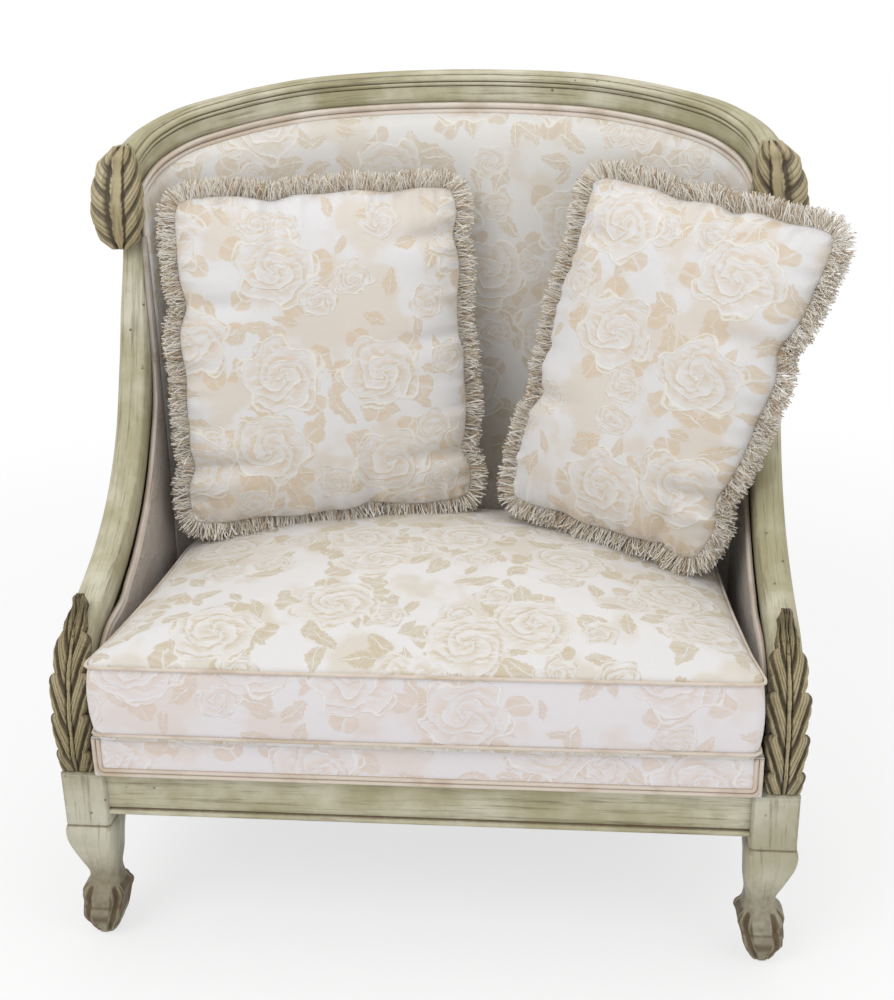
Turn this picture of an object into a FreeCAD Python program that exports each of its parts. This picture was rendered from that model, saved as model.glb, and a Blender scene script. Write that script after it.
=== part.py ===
import FreeCAD, Part
import math
import os
from FreeCAD import Placement, Rotation, Vector

# A wide bergere chair: a carved and painted wood frame that sweeps from the front legs up into
# a rounded back, close upholstery inside and out, a loose seat cushion and two fringed pillows.
# Millimetres. +X is to the right for someone facing the chair, +Y runs to its back, +Z is up.
# The origin is on the floor, on the centre plane, origin_depth behind the faces of the legs.

# plan of the frame
frame_width = 918.0         # over the front leg blocks
rail_thick = 40.0           # arm and crest rails, seen from above
arm_straight = 347.0        # run of the arms before they turn into the back
back_round = 233.0          # how far the rounded back reaches past the straight arms
roundness = 2.46            # exponent of the back's superellipse
origin_depth = 330.0
fit_gap = 0.3               # clearance between curved or soft neighbours
cloth = 1.2                 # thickness of a layer of cloth

# front legs and seat frame
block_width = 58.0
block_top = 243.0
knee_top = 168.0
glide_height = 3.0
glide_radius = 11.0
rail_low = 185.0            # underside of the seat rails
apron_setback = 4.0
apron_thick = 30.0
seat_rail_in = 12.0         # seat rails reach this far inside the arm rails' inner face
seat_rail_out = 34.0
bead = 4.0                  # half-round bead along the foot of the seat rails
rear_leg_run = 600.0        # where the rear legs stand, along the inner face from the arm's front
rear_leg_width = 44.0
rear_leg_thick = 30.0
rear_leg_rake = 44.0
rear_leg_set = 2.0          # from the rails' inner face

# arm and crest rails
arm_depth = 40.0            # arm rail, square to its own line in side view
arm_line = [(9, 243), (9, 290), (13, 335), (28, 380), (56, 415), (88, 434), (124, 447), (171, 467),
            (210, 488), (249, 515), (284, 548), (317, 590), (342, 635), (364, 695), (379, 755),
            (391, 800), (398.5, 840), (402, 885), (402, 950)]
crest_start = 398.5
crest_depth = 39.0
crest_crown = 9.0
crest_line = [(398.5, 958), (438, 983), (474, 999), (512, 1012), (564, 1024), (614, 1034),
              (680, 1044), (746, 1049), (818, 1052), (888, 1053)]

# upholstery on the frame
deck_front = -4.0           # face of the deck's front band
deck_top = 299.7
deck_inset = 8.0
cover_line = [(58, 374), (104, 402), (164, 412), (193, 427), (230, 446), (264, 470), (299, 499),
              (331, 535), (359, 578), (380, 626), (390, 700), (393, 770), (396, 850), (398, 921)]
arm_pad = 5.0
back_pad = 28.0
pad_ramp = 190.0            # run in which the arm's thin pad thickens into the back pad
welt_width = 17.0
welt_thick = 6.0
outer_welt = 7.0
outside_set = 33.0          # the outside cloth, from the rails' inner face

# seat springs
spring_count = 5
spring_spacing = 130.0
spring_bars = 19
spring_wire = 1.8           # radius
spring_half = 24.0
spring_level = 228.0

# loose seat cushion
cushion_front = -15.0
cushion_side_gap = 22.0     # from the arm rails' inner face to the cushion's side
ear_reach = 4.0             # how far the ears reach in front of the leg blocks
ear_depth = 62.0
boxing_height = 106.0
cushion_crown = 42.0
cushion_back_gap = 39.0     # from the rails' inner face to the cushion's back
piping_width = 5.0

# pillows: half thickness, fringe width and how each lies; its middle is given from the rails'
# inner face at its side, from the middle of the back, and above the cushion's crown
pillow_half = 66.0
pillow_draw = 16.0          # how far the sides draw in between the corners
fringe_width = 24.0
fringe_thick = 8.0
left_pillow = {"side": -1, "middle": (244, 145, 232.9), "yaw": -14.3, "lean": -7.0, "roll": -1.2,
               "corners": [(-196, 231), (205, 227), (205, -233), (-216, -237)]}
right_pillow = {"side": 1, "middle": (137, 214, 229), "yaw": 30.0, "lean": -14.5, "roll": 7.6,
                "corners": [(-160, 240), (206, 233), (150, -228), (-165, -236)]}

inner_half = frame_width / 2 - rail_thick
block_in = frame_width / 2 - block_width
rail_top = block_top
cover_low = deck_top + fit_gap
cushion_low = deck_top + fit_gap
cushion_half = inner_half - cushion_side_gap
cushion_ear = block_in + ear_reach
cushion_top = cushion_low + boxing_height + cushion_crown
os.makedirs("parts", exist_ok=True)


def save(name, shape):
    shape.exportStep("parts/" + name + ".step")
    print(name, len(shape.Solids), round(shape.Volume / 1000), shape.isValid())


def save_pair(name, right):
    save(name + "_right", right)
    save(name + "_left", right.mirror(Vector(0, 0, 0), Vector(1, 0, 0)))


def with_mirror(shape):
    return Part.makeCompound([shape, shape.mirror(Vector(0, 0, 0), Vector(1, 0, 0))])


# A point given by its place across, its depth behind the legs' faces, and its height.
def at(x, depth, z):
    return Vector(x, depth - origin_depth, z)


def spline(points, first=None, last=None):
    curve = Part.BSplineCurve()
    if first is None:
        curve.interpolate(points)
    else:
        curve.interpolate(Points=points, InitialTangent=first.normalize(),
                          FinalTangent=last.normalize(), Scale=False)
    return curve


# The rounded back at the rails' inner face, from the end of the right arm to the middle.
def back_point(angle):
    across = inner_half * max(math.cos(angle), 0.0) ** (2 / roundness)
    along = back_round * math.sin(angle) ** (2 / roundness)
    return Vector(across, arm_straight + along, 0)


back_edge = spline([back_point(math.radians(step * 6)) for step in range(16)],
                   Vector(0, 1, 0), Vector(-1, 0, 0)).toShape()
half_run = arm_straight + back_edge.Length
left_turn = 2 * half_run - arm_straight


# A point of the rim: its run along the inner face from the front of the right arm, round the
# back to the front of the left arm, its offset outwards from that face, and its height.
def rim(run, offset, z):
    mirrored = run > half_run
    near = 2 * half_run - run if mirrored else run
    if near <= arm_straight:
        x, depth = inner_half + offset, near
    else:
        place = back_edge.getParameterByLength(min(near - arm_straight, back_edge.Length))
        on, way = back_edge.valueAt(place), back_edge.tangentAt(place)
        x, depth = on.x + way.y * offset, on.y - way.x * offset
    return at(-x if mirrored else x, depth, z)


def rim_edges(start, end, offset, z):
    turns = [turn for turn in (arm_straight, left_turn) if start < turn < end]
    stops = [start] + turns + [end]
    edges = []
    for a, b in zip(stops, stops[1:]):
        if b <= arm_straight or a >= left_turn:
            edges.append(Part.makeLine(rim(a, offset, z), rim(b, offset, z)))
            continue
        steps = max(4, round((b - a) / 40))
        points = [rim(a + (b - a) * i / steps, offset, z) for i in range(steps + 1)]
        first = rim(a + 0.5, offset, z) - points[0]
        last = points[-1] - rim(b - 0.5, offset, z)
        edges.append(spline(points, first, last).toShape())
    return edges


# A wall of even height that follows the rim.
def rim_wall(start, end, inner, outer, low, high):
    edges = rim_edges(start, end, inner, low) + rim_edges(start, end, outer, low)
    edges += [Part.makeLine(rim(run, inner, low), rim(run, outer, low)) for run in (start, end)]
    face = Part.Face(Part.Wire(Part.__sortEdges__(edges)))
    return face.extrude(Vector(0, 0, high - low))


# The rim's plan closed by a line across its front, as a wire and as a slab.
def rim_plan(offset, front, z):
    edges = rim_edges(front, 2 * half_run - front, offset, z)
    edges.append(Part.makeLine(rim(front, offset, z), rim(2 * half_run - front, offset, z)))
    return Part.Wire(Part.__sortEdges__(edges))


def rim_slab(offset, front, low, high):
    return Part.Face(rim_plan(offset, front, low)).extrude(Vector(0, 0, high - low))


# A closed wire from corner to corner; a step of two points is an arc through the first.
def outline(start, *steps):
    edges, here = [], start
    for step in steps + (start,):
        if isinstance(step, tuple):
            through, step = step
            edges.append(Part.Arc(here, through, step).toShape())
        elif (step - here).Length > 1e-6:
            edges.append(Part.makeLine(here, step))
        here = step
    return Part.Wire(edges)


# A solid with another one's space left empty inside it.
def hollow(outside, inside):
    return Part.makeSolid(Part.makeCompound([outside.Shells[0], inside.Shells[0].reversed()]))


# A smooth solid through the cuts of the rim at each run.
def rim_loft(runs, cut):
    return Part.makeLoft([cut(run) for run in runs], True, False)


def rim_box(run, inner, outer, low, high):
    return outline(rim(run, inner, low), rim(run, inner, high), rim(run, outer, high),
                   rim(run, outer, low))


# Side view curves: a point and its way along, in run and height.
arm_curve = spline([Vector(0, run, z) for run, z in arm_line], Vector(0, 0, 1), Vector(0, 0, 1))
crest_curve = spline([Vector(0, run, z) for run, z in crest_line]
                     + [Vector(0, 2 * half_run - run, z) for run, z in reversed(crest_line[:-1])])
cover_curve = spline([Vector(0, run, z) for run, z in cover_line])


def curve_point(curve, share, depth):
    place = curve.FirstParameter + share * (curve.LastParameter - curve.FirstParameter)
    on = curve.value(place)
    way = Vector(*curve.tangent(place)[0]).normalize()
    return on.y + depth * way.z, on.z - depth * way.y


# Height of the crest's bead line above a run.
def crest_height(run):
    near = min(max(run, crest_start), 2 * half_run - crest_start)
    low, high = crest_curve.FirstParameter, crest_curve.LastParameter
    for _ in range(40):
        middle = (low + high) / 2
        if crest_curve.value(middle).y < near:
            low = middle
        else:
            high = middle
    return crest_curve.value(low).z


# A side view line across the chair, taken at an offset from the rail's inner face.
def side_points(curve, depth, offset, count=26):
    line = [curve_point(curve, i / count, depth) for i in range(count + 1)]
    return [Vector(0, rim(run, offset, z).y, z) for run, z in line]


def across_block(edges):
    face = Part.Face(Part.Wire(Part.__sortEdges__(edges)))
    face.translate(Vector(-frame_width, 0, 0))
    return face.extrude(Vector(2 * frame_width, 0, 0))


# Everything below such a line and below the roof that carries it on, down to low.
def under(curve, depth, offset, low, roof):
    line = side_points(curve, depth, offset)
    corners = [Vector(0, rim(run, offset, z).y, z) for run, z in roof]
    corners += [Vector(0, corners[-1].y, low), Vector(0, line[0].y, low), line[0]]
    edges, here = [spline(line).toShape()], line[-1]
    for corner in corners:
        edges.append(Part.makeLine(here, corner))
        here = corner
    return across_block(edges)


# The strip between two depths under such a line.
def strip(curve, shallow, deep, offset):
    upper = side_points(curve, shallow, offset)
    lower = side_points(curve, deep, offset)
    return across_block([spline(upper).toShape(), Part.makeLine(upper[-1], lower[-1]),
                         spline(lower).toShape(), Part.makeLine(lower[0], upper[0])])


def rounded(x0, x1, depth0, depth1, radius, z):
    cut = radius * (1 - math.sqrt(0.5))
    return outline(
        at(x0 + radius, depth0, z), at(x1 - radius, depth0, z),
        (at(x1 - cut, depth0 + cut, z), at(x1, depth0 + radius, z)), at(x1, depth1 - radius, z),
        (at(x1 - cut, depth1 - cut, z), at(x1 - radius, depth1, z)), at(x0 + radius, depth1, z),
        (at(x0 + cut, depth1 - cut, z), at(x0, depth1 - radius, z)), at(x0, depth0 + radius, z),
        (at(x0 + cut, depth0 + cut, z), at(x0 + radius, depth0, z)))


# Dowels, glued half into each of the two pieces that they join.
dowel_radius = 5.0
dowel_length = 56.0
hole_gap = 0.1


def dowel_at(middle, way, radius=dowel_radius):
    start = middle - way * (dowel_length / 2)
    return Part.makeCylinder(radius, dowel_length, start, way)


post_middle = inner_half + rail_thick / 2
post_dowel_run = crest_start + 23.5
crest_low_at_post = crest_height(post_dowel_run) - crest_depth
crest_low_at_leg = crest_height(rear_leg_run) - crest_depth
dowel_places = [
    (at(post_middle - 9, block_width / 2, block_top), Vector(0, 0, 1)),
    (at(post_middle + 9, block_width / 2, block_top), Vector(0, 0, 1)),
    (rim(post_dowel_run, rail_thick / 2, crest_low_at_post), Vector(0, 0, 1)),
    (rim(rear_leg_run, rear_leg_thick / 2 + rear_leg_set, crest_low_at_leg - 4), Vector(0, 0, 1)),
    (at(block_in, apron_setback + apron_thick / 2, rail_low + 16), Vector(1, 0, 0)),
    (at(block_in, apron_setback + apron_thick / 2, rail_top - 14), Vector(1, 0, 0)),
    (at(inner_half + 11, block_width, rail_low + 16), Vector(0, 1, 0)),
    (at(inner_half + 11, block_width, rail_top - 14), Vector(0, 1, 0)),
]
right_dowels = [dowel_at(middle, way) for middle, way in dowel_places]
holes = Part.makeCompound([dowel_at(*place, dowel_radius + hole_gap) for place in dowel_places])
save("dowels", with_mirror(Part.makeCompound(right_dowels)))

# Front legs: a square block, then a knee, an ankle and a carved paw of a foot.
leg_out = frame_width / 2
leg_cuts = [  # inner and outer side, front and rear, all from the block's; corner radius, height
    (0, 0, 0, 0, 5, knee_top), (-2, 3, -3, 1, 8, 156), (-1, 0, -3, -3, 9, 139),
    (-1, -11, -1, -11, 10, 115), (1, -19, 2, -17, 11, 96), (-1, -18, 0, -16, 12, 80),
    (-3, -13, -4, -12, 13, 60), (2, -9, -6, -10, 14, 33), (8, -16, -1, -16, 12, 18),
    (14, -21, 5, -24, 9, glide_height)]
wires = [rounded(block_in + a, leg_out + b, c, block_width + d, radius, z)
         for a, b, c, d, radius, z in leg_cuts]
block_face = Part.Face(rounded(block_in, leg_out, 0, block_width, 5, knee_top))
block = block_face.extrude(Vector(0, 0, block_top - knee_top))
front_leg = block.fuse(Part.makeLoft(wires, True, False)).cut(holes)
save_pair("front_leg", front_leg)

# Crest rail, with its bead line on the inner top edge and a crowned top.
crest_runs = [run for run, _ in crest_line[:-1]]
crest_runs = crest_runs + [half_run] + [2 * half_run - run for run in reversed(crest_runs)]


def crest_cut(run):
    top = crest_height(run)
    out = rail_thick + 1
    return outline(rim(run, -0.5, top - crest_depth), rim(run, -0.5, top),
                   (rim(run, out / 2, top + crest_crown), rim(run, out - 3, top + 1)),
                   rim(run, out, top - 5), rim(run, out, top - crest_depth))


crest_solid = rim_loft(crest_runs, crest_cut)
save("crest_rail", crest_solid.cut(with_mirror(holes)))


# Arm rails: a post that rises from the leg block, rolls back and sweeps up to the crest.
def arm_cut(share):
    def corner(offset, depth):
        run, z = curve_point(arm_curve, share, depth)
        return rim(run, offset, z)
    return outline(corner(0, arm_depth), corner(0, 7),
                   (corner(rail_thick / 2, 0), corner(rail_thick - 3, 6)),
                   corner(rail_thick, 12), corner(rail_thick, arm_depth))


arm_shares = [i / 24 for i in range(25)]
arm = Part.makeLoft([arm_cut(share) for share in arm_shares], True, False)
arm = arm.cut(crest_solid).cut(holes)
save_pair("arm_rail", arm)


# Rear legs: raked below the seat, upright behind the upholstery up to the crest.
def rear_leg_cut(offset, thick, width, z):
    middle = rim(rear_leg_run, 0, z)
    outwards = (rim(rear_leg_run, 1, z) - middle).normalize()
    across = Vector(-outwards.y, outwards.x, 0)
    corners = [middle + outwards * o + across * a for o, a in
               ((offset, -width / 2), (offset, width / 2), (offset + thick, width / 2),
                (offset + thick, -width / 2))]
    return outline(*corners)


leg_heights = [  # share of the rake, thickness, width, height
    (1.0, 24, 30, glide_height), (0.62, 26, 33, 60), (0.28, 29, 38, 120),
    (0.05, rear_leg_thick, rear_leg_width, 176)]
stile_low = rail_low + 5
stile_cut = rear_leg_cut(rear_leg_set, rear_leg_thick, rear_leg_width, stile_low)
raked = Part.makeLoft([rear_leg_cut(rear_leg_set + rear_leg_rake * share, thick, width, z)
                       for share, thick, width, z in leg_heights] + [stile_cut], True, False)
stile = Part.Face(stile_cut).extrude(Vector(0, 0, crest_low_at_leg + 10 - stile_low))
rear_leg = raked.fuse(stile).cut(crest_solid).cut(holes)
save_pair("rear_leg", rear_leg)

# Glides under the four feet.
front_glide = Part.makeCylinder(glide_radius, glide_height,
                                at((block_in + leg_out) / 2 - 3.5, 19.5, 0))
rear_foot = rim(rear_leg_run, rear_leg_set + rear_leg_rake + 12, 0)
rear_glide = Part.makeCylinder(glide_radius, glide_height, rear_foot)
save("floor_glides", with_mirror(Part.makeCompound([front_glide, rear_glide])))

# Corner blocks behind the front legs, each held by two screws.
back_face = apron_setback + apron_thick
brace = 72.0
side_in = inner_half - seat_rail_in
block_plan = outline(at(block_in - brace, back_face, rail_low + 8), at(block_in, back_face, rail_low + 8),
                     at(block_in, block_width, rail_low + 8), at(side_in, block_width, rail_low + 8),
                     at(side_in, block_width + brace, rail_low + 8))
corner_block = Part.Face(block_plan).extrude(Vector(0, 0, rail_top - rail_low - 14))
screw_level = (rail_low + rail_top) / 2
screw_length = 44.0


def corner_screw(start, way, gap):
    shank = Part.makeCylinder(2.2 + gap, screw_length, start, way)
    head = Part.makeCone(4.5 + gap, 2.2 + gap, 4, start, way)
    return shank.fuse(head)


screw_places = [(at(block_in - 40, back_face + 25, screw_level), Vector(0, -1, 0)),
                (at(side_in - 25, block_width + 34, screw_level), Vector(1, 0, 0))]
screws = Part.makeCompound([corner_screw(*place, 0.0) for place in screw_places])
screw_holes = Part.makeCompound([corner_screw(*place, hole_gap) for place in screw_places])
corner_block = corner_block.cut(screw_holes)
save("corner_blocks", with_mirror(corner_block))
save("corner_screws", with_mirror(screws))

# Front seat rail with a bead along its foot.
apron_section = outline(
    at(0, back_face, rail_low), at(0, back_face, rail_top), at(0, apron_setback, rail_top),
    at(0, apron_setback, rail_low + 2 * bead + 2), at(0, apron_setback + 2, rail_low + 2 * bead + 1),
    at(0, apron_setback, rail_low + 2 * bead),
    (at(0, apron_setback - bead + 0.5, rail_low + bead), at(0, apron_setback, rail_low)))
apron = Part.Face(apron_section)
apron.translate(Vector(-block_in, 0, 0))
apron = apron.extrude(Vector(2 * block_in, 0, 0))
save("front_rail", apron.cut(with_mirror(holes)).cut(with_mirror(screw_holes)))

# Side and back seat rails, which butt against the rear legs.
leg_edge = rear_leg_run - rear_leg_width / 2 - fit_gap
far_edge = rear_leg_run + rear_leg_width / 2 + fit_gap


def seat_rail(start, end):
    wall = rim_wall(start, end, -seat_rail_in, seat_rail_out, rail_low, rail_top)
    foot = rim_wall(start, end, seat_rail_out - 2, seat_rail_out + bead / 2, rail_low,
                    rail_low + 2 * bead)
    return wall.fuse(foot).removeSplitter()


save_pair("side_rail", seat_rail(block_width, leg_edge).cut(holes).cut(screw_holes))
save("back_rail", seat_rail(far_edge, 2 * half_run - far_edge))

# Tacking rails just above the seat, which the covers are tacked to.
tack = (6.0, 30.0, 262.0, 292.0)    # inner and outer offset, low and high edge
save_pair("arm_tack_rail", rim_wall(9 + arm_depth + 1, leg_edge, *tack))
save("back_tack_rail", rim_wall(far_edge, 2 * half_run - far_edge, *tack))


# Acanthus leaf on the face of the arm post, its tip curled clear of the rail.
def post_leaf_cut(share, half, lift):
    middle = rail_thick / 2 - 1

    def corner(offset, depth):
        run, z = curve_point(arm_curve, share, depth - lift)
        return rim(run, middle + offset, z)
    return outline(corner(-half, -0.4), corner(-half, -4), (corner(0, -10), corner(half, -4)),
                   corner(half, -0.4))


leaf_cuts = [(0.0, 20, 0), (0.035, 23, 0), (0.08, 26, 0), (0.12, 27, 0), (0.16, 26, 1),
             (0.2, 22, 4), (0.235, 15, 13), (0.26, 7, 27)]
save_pair("post_leaf", Part.makeLoft([post_leaf_cut(*cut) for cut in leaf_cuts], True, False))

# Acanthus leaf that wraps the shoulder, where arm and crest meet.
shoulder_offsets = [  # inner and outer edge from the rails' inner face, height
    (17, 33, 838), (3, 48, 850), (-5, 57, 874), (-7, 59, 904), (-7, 50, 932), (-5, 40, 955),
    (1, 19, 976)]
shoulder_levels = [(inner_half + inner, inner_half + outer, z)
                   for inner, outer, z in shoulder_offsets]
leaf_back = crest_start - 1.5
side_face = frame_width / 2 + 0.7
front_wires, side_wires = [], []
for inner, outer, z in shoulder_levels:
    swell = 19 * math.sin(math.radians(20 + 140 * (z - 838) / 138))
    front_wires.append(outline(at(inner, leaf_back, z), at(inner, leaf_back - 3, z),
                               (at((inner + outer) / 2, leaf_back - swell, z),
                                at(outer, leaf_back - 3, z)), at(outer, leaf_back, z)))
for inner, outer, z in shoulder_levels[1:-1]:
    reach = max(outer - side_face, 3)
    side_wires.append(outline(at(side_face - 2, leaf_back - 1, z), at(side_face + 1, leaf_back - 3, z),
                              (at(side_face + reach, leaf_back + 12, z),
                               at(side_face + 1, leaf_back + 24 + reach / 2, z)),
                              at(side_face, leaf_back + 24 + reach / 2, z),
                              at(side_face, leaf_back - 1, z)))
shoulder_leaf = Part.makeLoft(front_wires, True, False)
shoulder_side = Part.makeLoft(side_wires, True, False)
save_pair("shoulder_leaf", shoulder_leaf.fuse(shoulder_side))


# Sinuous seat springs between the front and back rails, each held by a clip at both ends.
def back_reach(x, offset):
    low, high = arm_straight, half_run
    for _ in range(40):
        middle = (low + high) / 2
        if rim(middle, offset, 0).x > x:
            low = middle
        else:
            high = middle
    return rim(low, offset, 0).y + origin_depth


def sinuous(x, start, end):
    pitch = (end - start) / (spring_bars - 1)
    edges, side = [], 1
    straight = spring_half - pitch / 2
    for bar in range(spring_bars):
        depth = start + bar * pitch
        near, far = -side * straight, side * straight
        first = near + (side * 4 if bar == 0 else 0)
        edges.append(Part.makeLine(at(x + first, depth, spring_level),
                                   at(x + far, depth, spring_level)))
        if bar < spring_bars - 1:
            edges.append(Part.Arc(at(x + far, depth, spring_level),
                                  at(x + far + side * pitch / 2, depth + pitch / 2, spring_level),
                                  at(x + far, depth + pitch, spring_level)).toShape())
        side = -side
    path = Part.Wire(edges)
    begin = edges[0].valueAt(edges[0].FirstParameter)
    ring = Part.Wire([Part.Circle(begin, Vector(1, 0, 0), spring_wire).toShape()])
    return path.makePipeShell([ring], True, False)


springs, clips = [], []
clip_size = Vector(16, 8, 10)
wire_gap = 0.3
for index in range(spring_count):
    x = (index - (spring_count - 1) / 2) * spring_spacing
    reach = min(back_reach(abs(x) - 8, -seat_rail_in), back_reach(abs(x) + 8, -seat_rail_in))
    start, end = back_face + clip_size.y / 2, reach - clip_size.y / 2 - 0.5
    springs.append(sinuous(x, start, end))
    for depth in (start, end):
        corner = at(x, depth, spring_level) - clip_size / 2
        bore = Part.makeCylinder(spring_wire + wire_gap, 2 * spring_half,
                                 at(x - spring_half, depth, spring_level), Vector(1, 0, 0))
        clips.append(Part.makeBox(clip_size.x, clip_size.y, clip_size.z, corner).cut(bore))
save("seat_springs", Part.makeCompound(springs))
save("spring_clips", Part.makeCompound(clips))

# Seat upholstery: hessian, the deck's pad, its cover and the double welt round its front band.
save("seat_hessian", rim_slab(-deck_inset - 1, 12, rail_top + 0.2, rail_top + 0.2 + cloth))
deck_low = rail_top + 0.5 + cloth
pad_top = deck_top - cloth - fit_gap
save("deck_pad", rim_slab(-deck_inset, deck_front + cloth + fit_gap, deck_low, pad_top))
save("deck_cloth", rim_slab(-deck_inset, deck_front + cloth + fit_gap, deck_top - cloth, deck_top))
band_half = inner_half - deck_inset
band = Part.makeBox(2 * band_half, cloth, deck_top - deck_low, at(-band_half, deck_front, deck_low))
save("deck_front_band", band)
welt_low = rail_top + 3
welt_face = deck_front - 4.0
frame_outer = rounded(-band_half, band_half, 0, deck_top - welt_low - 1, 14, 0)
frame_inner = rounded(-band_half + 12, band_half - 12, 12, deck_top, 8, 0)
band_welt = Part.Face(frame_outer).cut(Part.Face(frame_inner)).extrude(Vector(0, 0, 4))
band_welt.rotate(Vector(0, -origin_depth, 0), Vector(1, 0, 0), 90)
band_welt.translate(Vector(0, deck_front - fit_gap, welt_low))
save("deck_band_welt", band_welt)
dust_low = rail_low - cloth - 0.2
dust = rim_slab(0, block_width + 2, dust_low, dust_low + cloth)
dust_front = Part.makeBox(2 * block_in - 4, block_width - 6, cloth, at(-block_in + 2, 10, dust_low))
save("dust_cover", dust.fuse(dust_front).removeSplitter())

# Inside arms: lining, pad and cover, cut to the cover line; a double welt closes the edge.
lining_face = -0.3 - cloth
arm_pad_face = lining_face - fit_gap - arm_pad
arm_cover_face = arm_pad_face - fit_gap - cloth
inside_start = block_width
below_cover = under(cover_curve, welt_width + fit_gap, -4, rail_top,
                    [(crest_start + 2 * welt_width, cover_line[-1][1])])


def inside_arm(outer, face):
    wall = rim_wall(inside_start, crest_start - fit_gap, face, outer, cover_low, frame_width)
    return wall.common(below_cover)


save_pair("arm_lining", inside_arm(-0.3, lining_face))
save_pair("arm_pad", inside_arm(lining_face - fit_gap, arm_pad_face))
save_pair("inside_arm_cover", inside_arm(arm_pad_face - fit_gap, arm_cover_face))
welt_wall = rim_wall(inside_start, crest_start - 2, -1 - welt_thick, -1.0, cover_low,
                     shoulder_levels[0][2] - 1)
save_pair("inner_welt", welt_wall.common(strip(cover_curve, 0, welt_width, -4)))

# Inside back, thin at the shoulders and full in the middle.
wall_runs = [crest_start + fit_gap, 420, 446, 474, 512, 564, 614, 680, 746, 818]
wall_runs = wall_runs + [half_run] + [2 * half_run - run for run in reversed(wall_runs)]


def padding(run):
    near = min(run, 2 * half_run - run)
    share = min(max((near - crest_start) / pad_ramp, 0), 1)
    return arm_pad + (back_pad - arm_pad) * share * share * (3 - 2 * share)


def back_layer(outer, thick):
    return rim_loft(wall_runs, lambda run: rim_box(
        run, outer(run) - thick(run), outer(run), cover_low,
        crest_height(run) - crest_depth + 3 - welt_width - fit_gap))


save("back_lining", back_layer(lambda run: -1.5, lambda run: cloth))
pad_outer = -1.5 - cloth - fit_gap
save("back_pad", back_layer(lambda run: pad_outer, padding))
save("inside_back_cover", back_layer(lambda run: pad_outer - padding(run) - fit_gap,
                                     lambda run: cloth))
save("inner_welt_back", rim_loft(wall_runs, lambda run: rim_box(
    run, -1.5 - welt_thick, -1.5, crest_height(run) - crest_depth + 3 - welt_width,
    crest_height(run) - crest_depth + 3)))

# Outside arms and back: stretched cloth that meets over the rear legs, edged by welts.
outside_start = block_width + 2
panel_low = rail_top + 3
shoulder_back = crest_start + arm_depth + 8
roof_runs = [shoulder_back, 474, 512, 564, rear_leg_run - 0.5]
roof = [(run, crest_height(run) - crest_depth - 7 * fit_gap) for run in roof_runs]
below_frame = under(arm_curve, arm_depth + 2 * fit_gap, rail_thick, panel_low, roof)
outside_wall = rim_wall(outside_start, rear_leg_run - 0.5, outside_set, outside_set + cloth,
                        panel_low, crest_line[-1][1] + rail_thick)
save_pair("outside_arm_cover", outside_wall.common(below_frame))
welt_in = outside_set + cloth + 3 * fit_gap
welt_out = rail_thick - fit_gap
welt_wall = rim_wall(outside_start, shoulder_back, welt_in, welt_out, panel_low,
                     crest_height(shoulder_back) - crest_depth - 6)
save_pair("outer_welt", welt_wall.common(
    strip(arm_curve, arm_depth + 2 * fit_gap, arm_depth + outer_welt, rail_thick)))
far_runs = [rear_leg_run + 0.5, 640, 680, 746, 818]
far_runs = far_runs + [half_run] + [2 * half_run - run for run in reversed(far_runs)]
save("outside_back_cover", rim_loft(far_runs, lambda run: rim_box(
    run, outside_set, outside_set + cloth, panel_low,
    crest_height(run) - crest_depth - 4 * fit_gap)))
edge_runs = [shoulder_back + 1, 474, 512, 564, 614, 680, 746, 818]
edge_runs = edge_runs + [half_run] + [2 * half_run - run for run in reversed(edge_runs)]
save("outer_welt_back", rim_loft(edge_runs, lambda run: rim_box(
    run, welt_in, welt_out, crest_height(run) - crest_depth - outer_welt,
    crest_height(run) - crest_depth - 2 * fit_gap)))
save("base_welt", rim_wall(outside_start, 2 * half_run - outside_start, welt_in, welt_out,
                           rail_top + 0.5, rail_top + outer_welt))


# Loose seat cushion: boxed, crowned on top, with small ears in front of the arm posts.
cushion_middle = at(0, arm_straight - 85, 0)
corner_turn = 12.0


def cushion_outline(inset, share, z):
    def place(x, y):
        return Vector(x * share, cushion_middle.y + (y - cushion_middle.y) * share, z)

    front = cushion_front + inset - origin_depth
    ear = cushion_ear - inset
    bend = corner_turn * (1 - math.sqrt(0.5))
    waist = cushion_half - inset
    side_start = cushion_front + ear_depth - origin_depth
    offset = -cushion_back_gap - inset
    back = [rim(arm_straight + (left_turn - arm_straight) * i / 20, offset, z) for i in range(21)]
    back_curve = spline([place(p.x, p.y) for p in back], Vector(0, 1, 0), Vector(0, -1, 0))
    end = back[0]
    middle_x = (waist + end.x) / 2 - 3
    middle_y = (side_start + end.y) / 2
    right = [place(ear - corner_turn, front), place(ear - bend, front + bend),
             place(ear, front + corner_turn), place(waist, side_start),
             place(middle_x, middle_y), place(end.x, end.y)]
    left = [Vector(-p.x, p.y, p.z) for p in right]
    return Part.Wire([
        Part.Arc(left[0], place(0, front - 2), right[0]).toShape(),
        Part.Arc(*right[0:3]).toShape(), Part.makeLine(right[2], right[3]),
        Part.Arc(*right[3:6]).toShape(), back_curve.toShape(),
        Part.Arc(left[5], left[4], left[3]).toShape(), Part.makeLine(left[3], left[2]),
        Part.Arc(left[2], left[1], left[0]).toShape()])


cushion_levels = [(6, 1, 0), (0, 1, 8), (-1, 1, boxing_height / 2), (0, 1, boxing_height - 5),
                  (5, 1, boxing_height)]  # inset, share of the plan, height above the underside
cushion_levels += [(5, share, boxing_height + cushion_crown * (1 - share ** 2.4))
                   for share in (0.92, 0.83, 0.72, 0.6, 0.46, 0.3, 0.1)]


def cushion_form(skin):
    squash = 1 - 2 * skin / (boxing_height + cushion_crown)
    return Part.makeLoft([cushion_outline(inset + skin, share, cushion_low + skin + rise * squash)
                          for inset, share, rise in cushion_levels], True, True)


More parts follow.
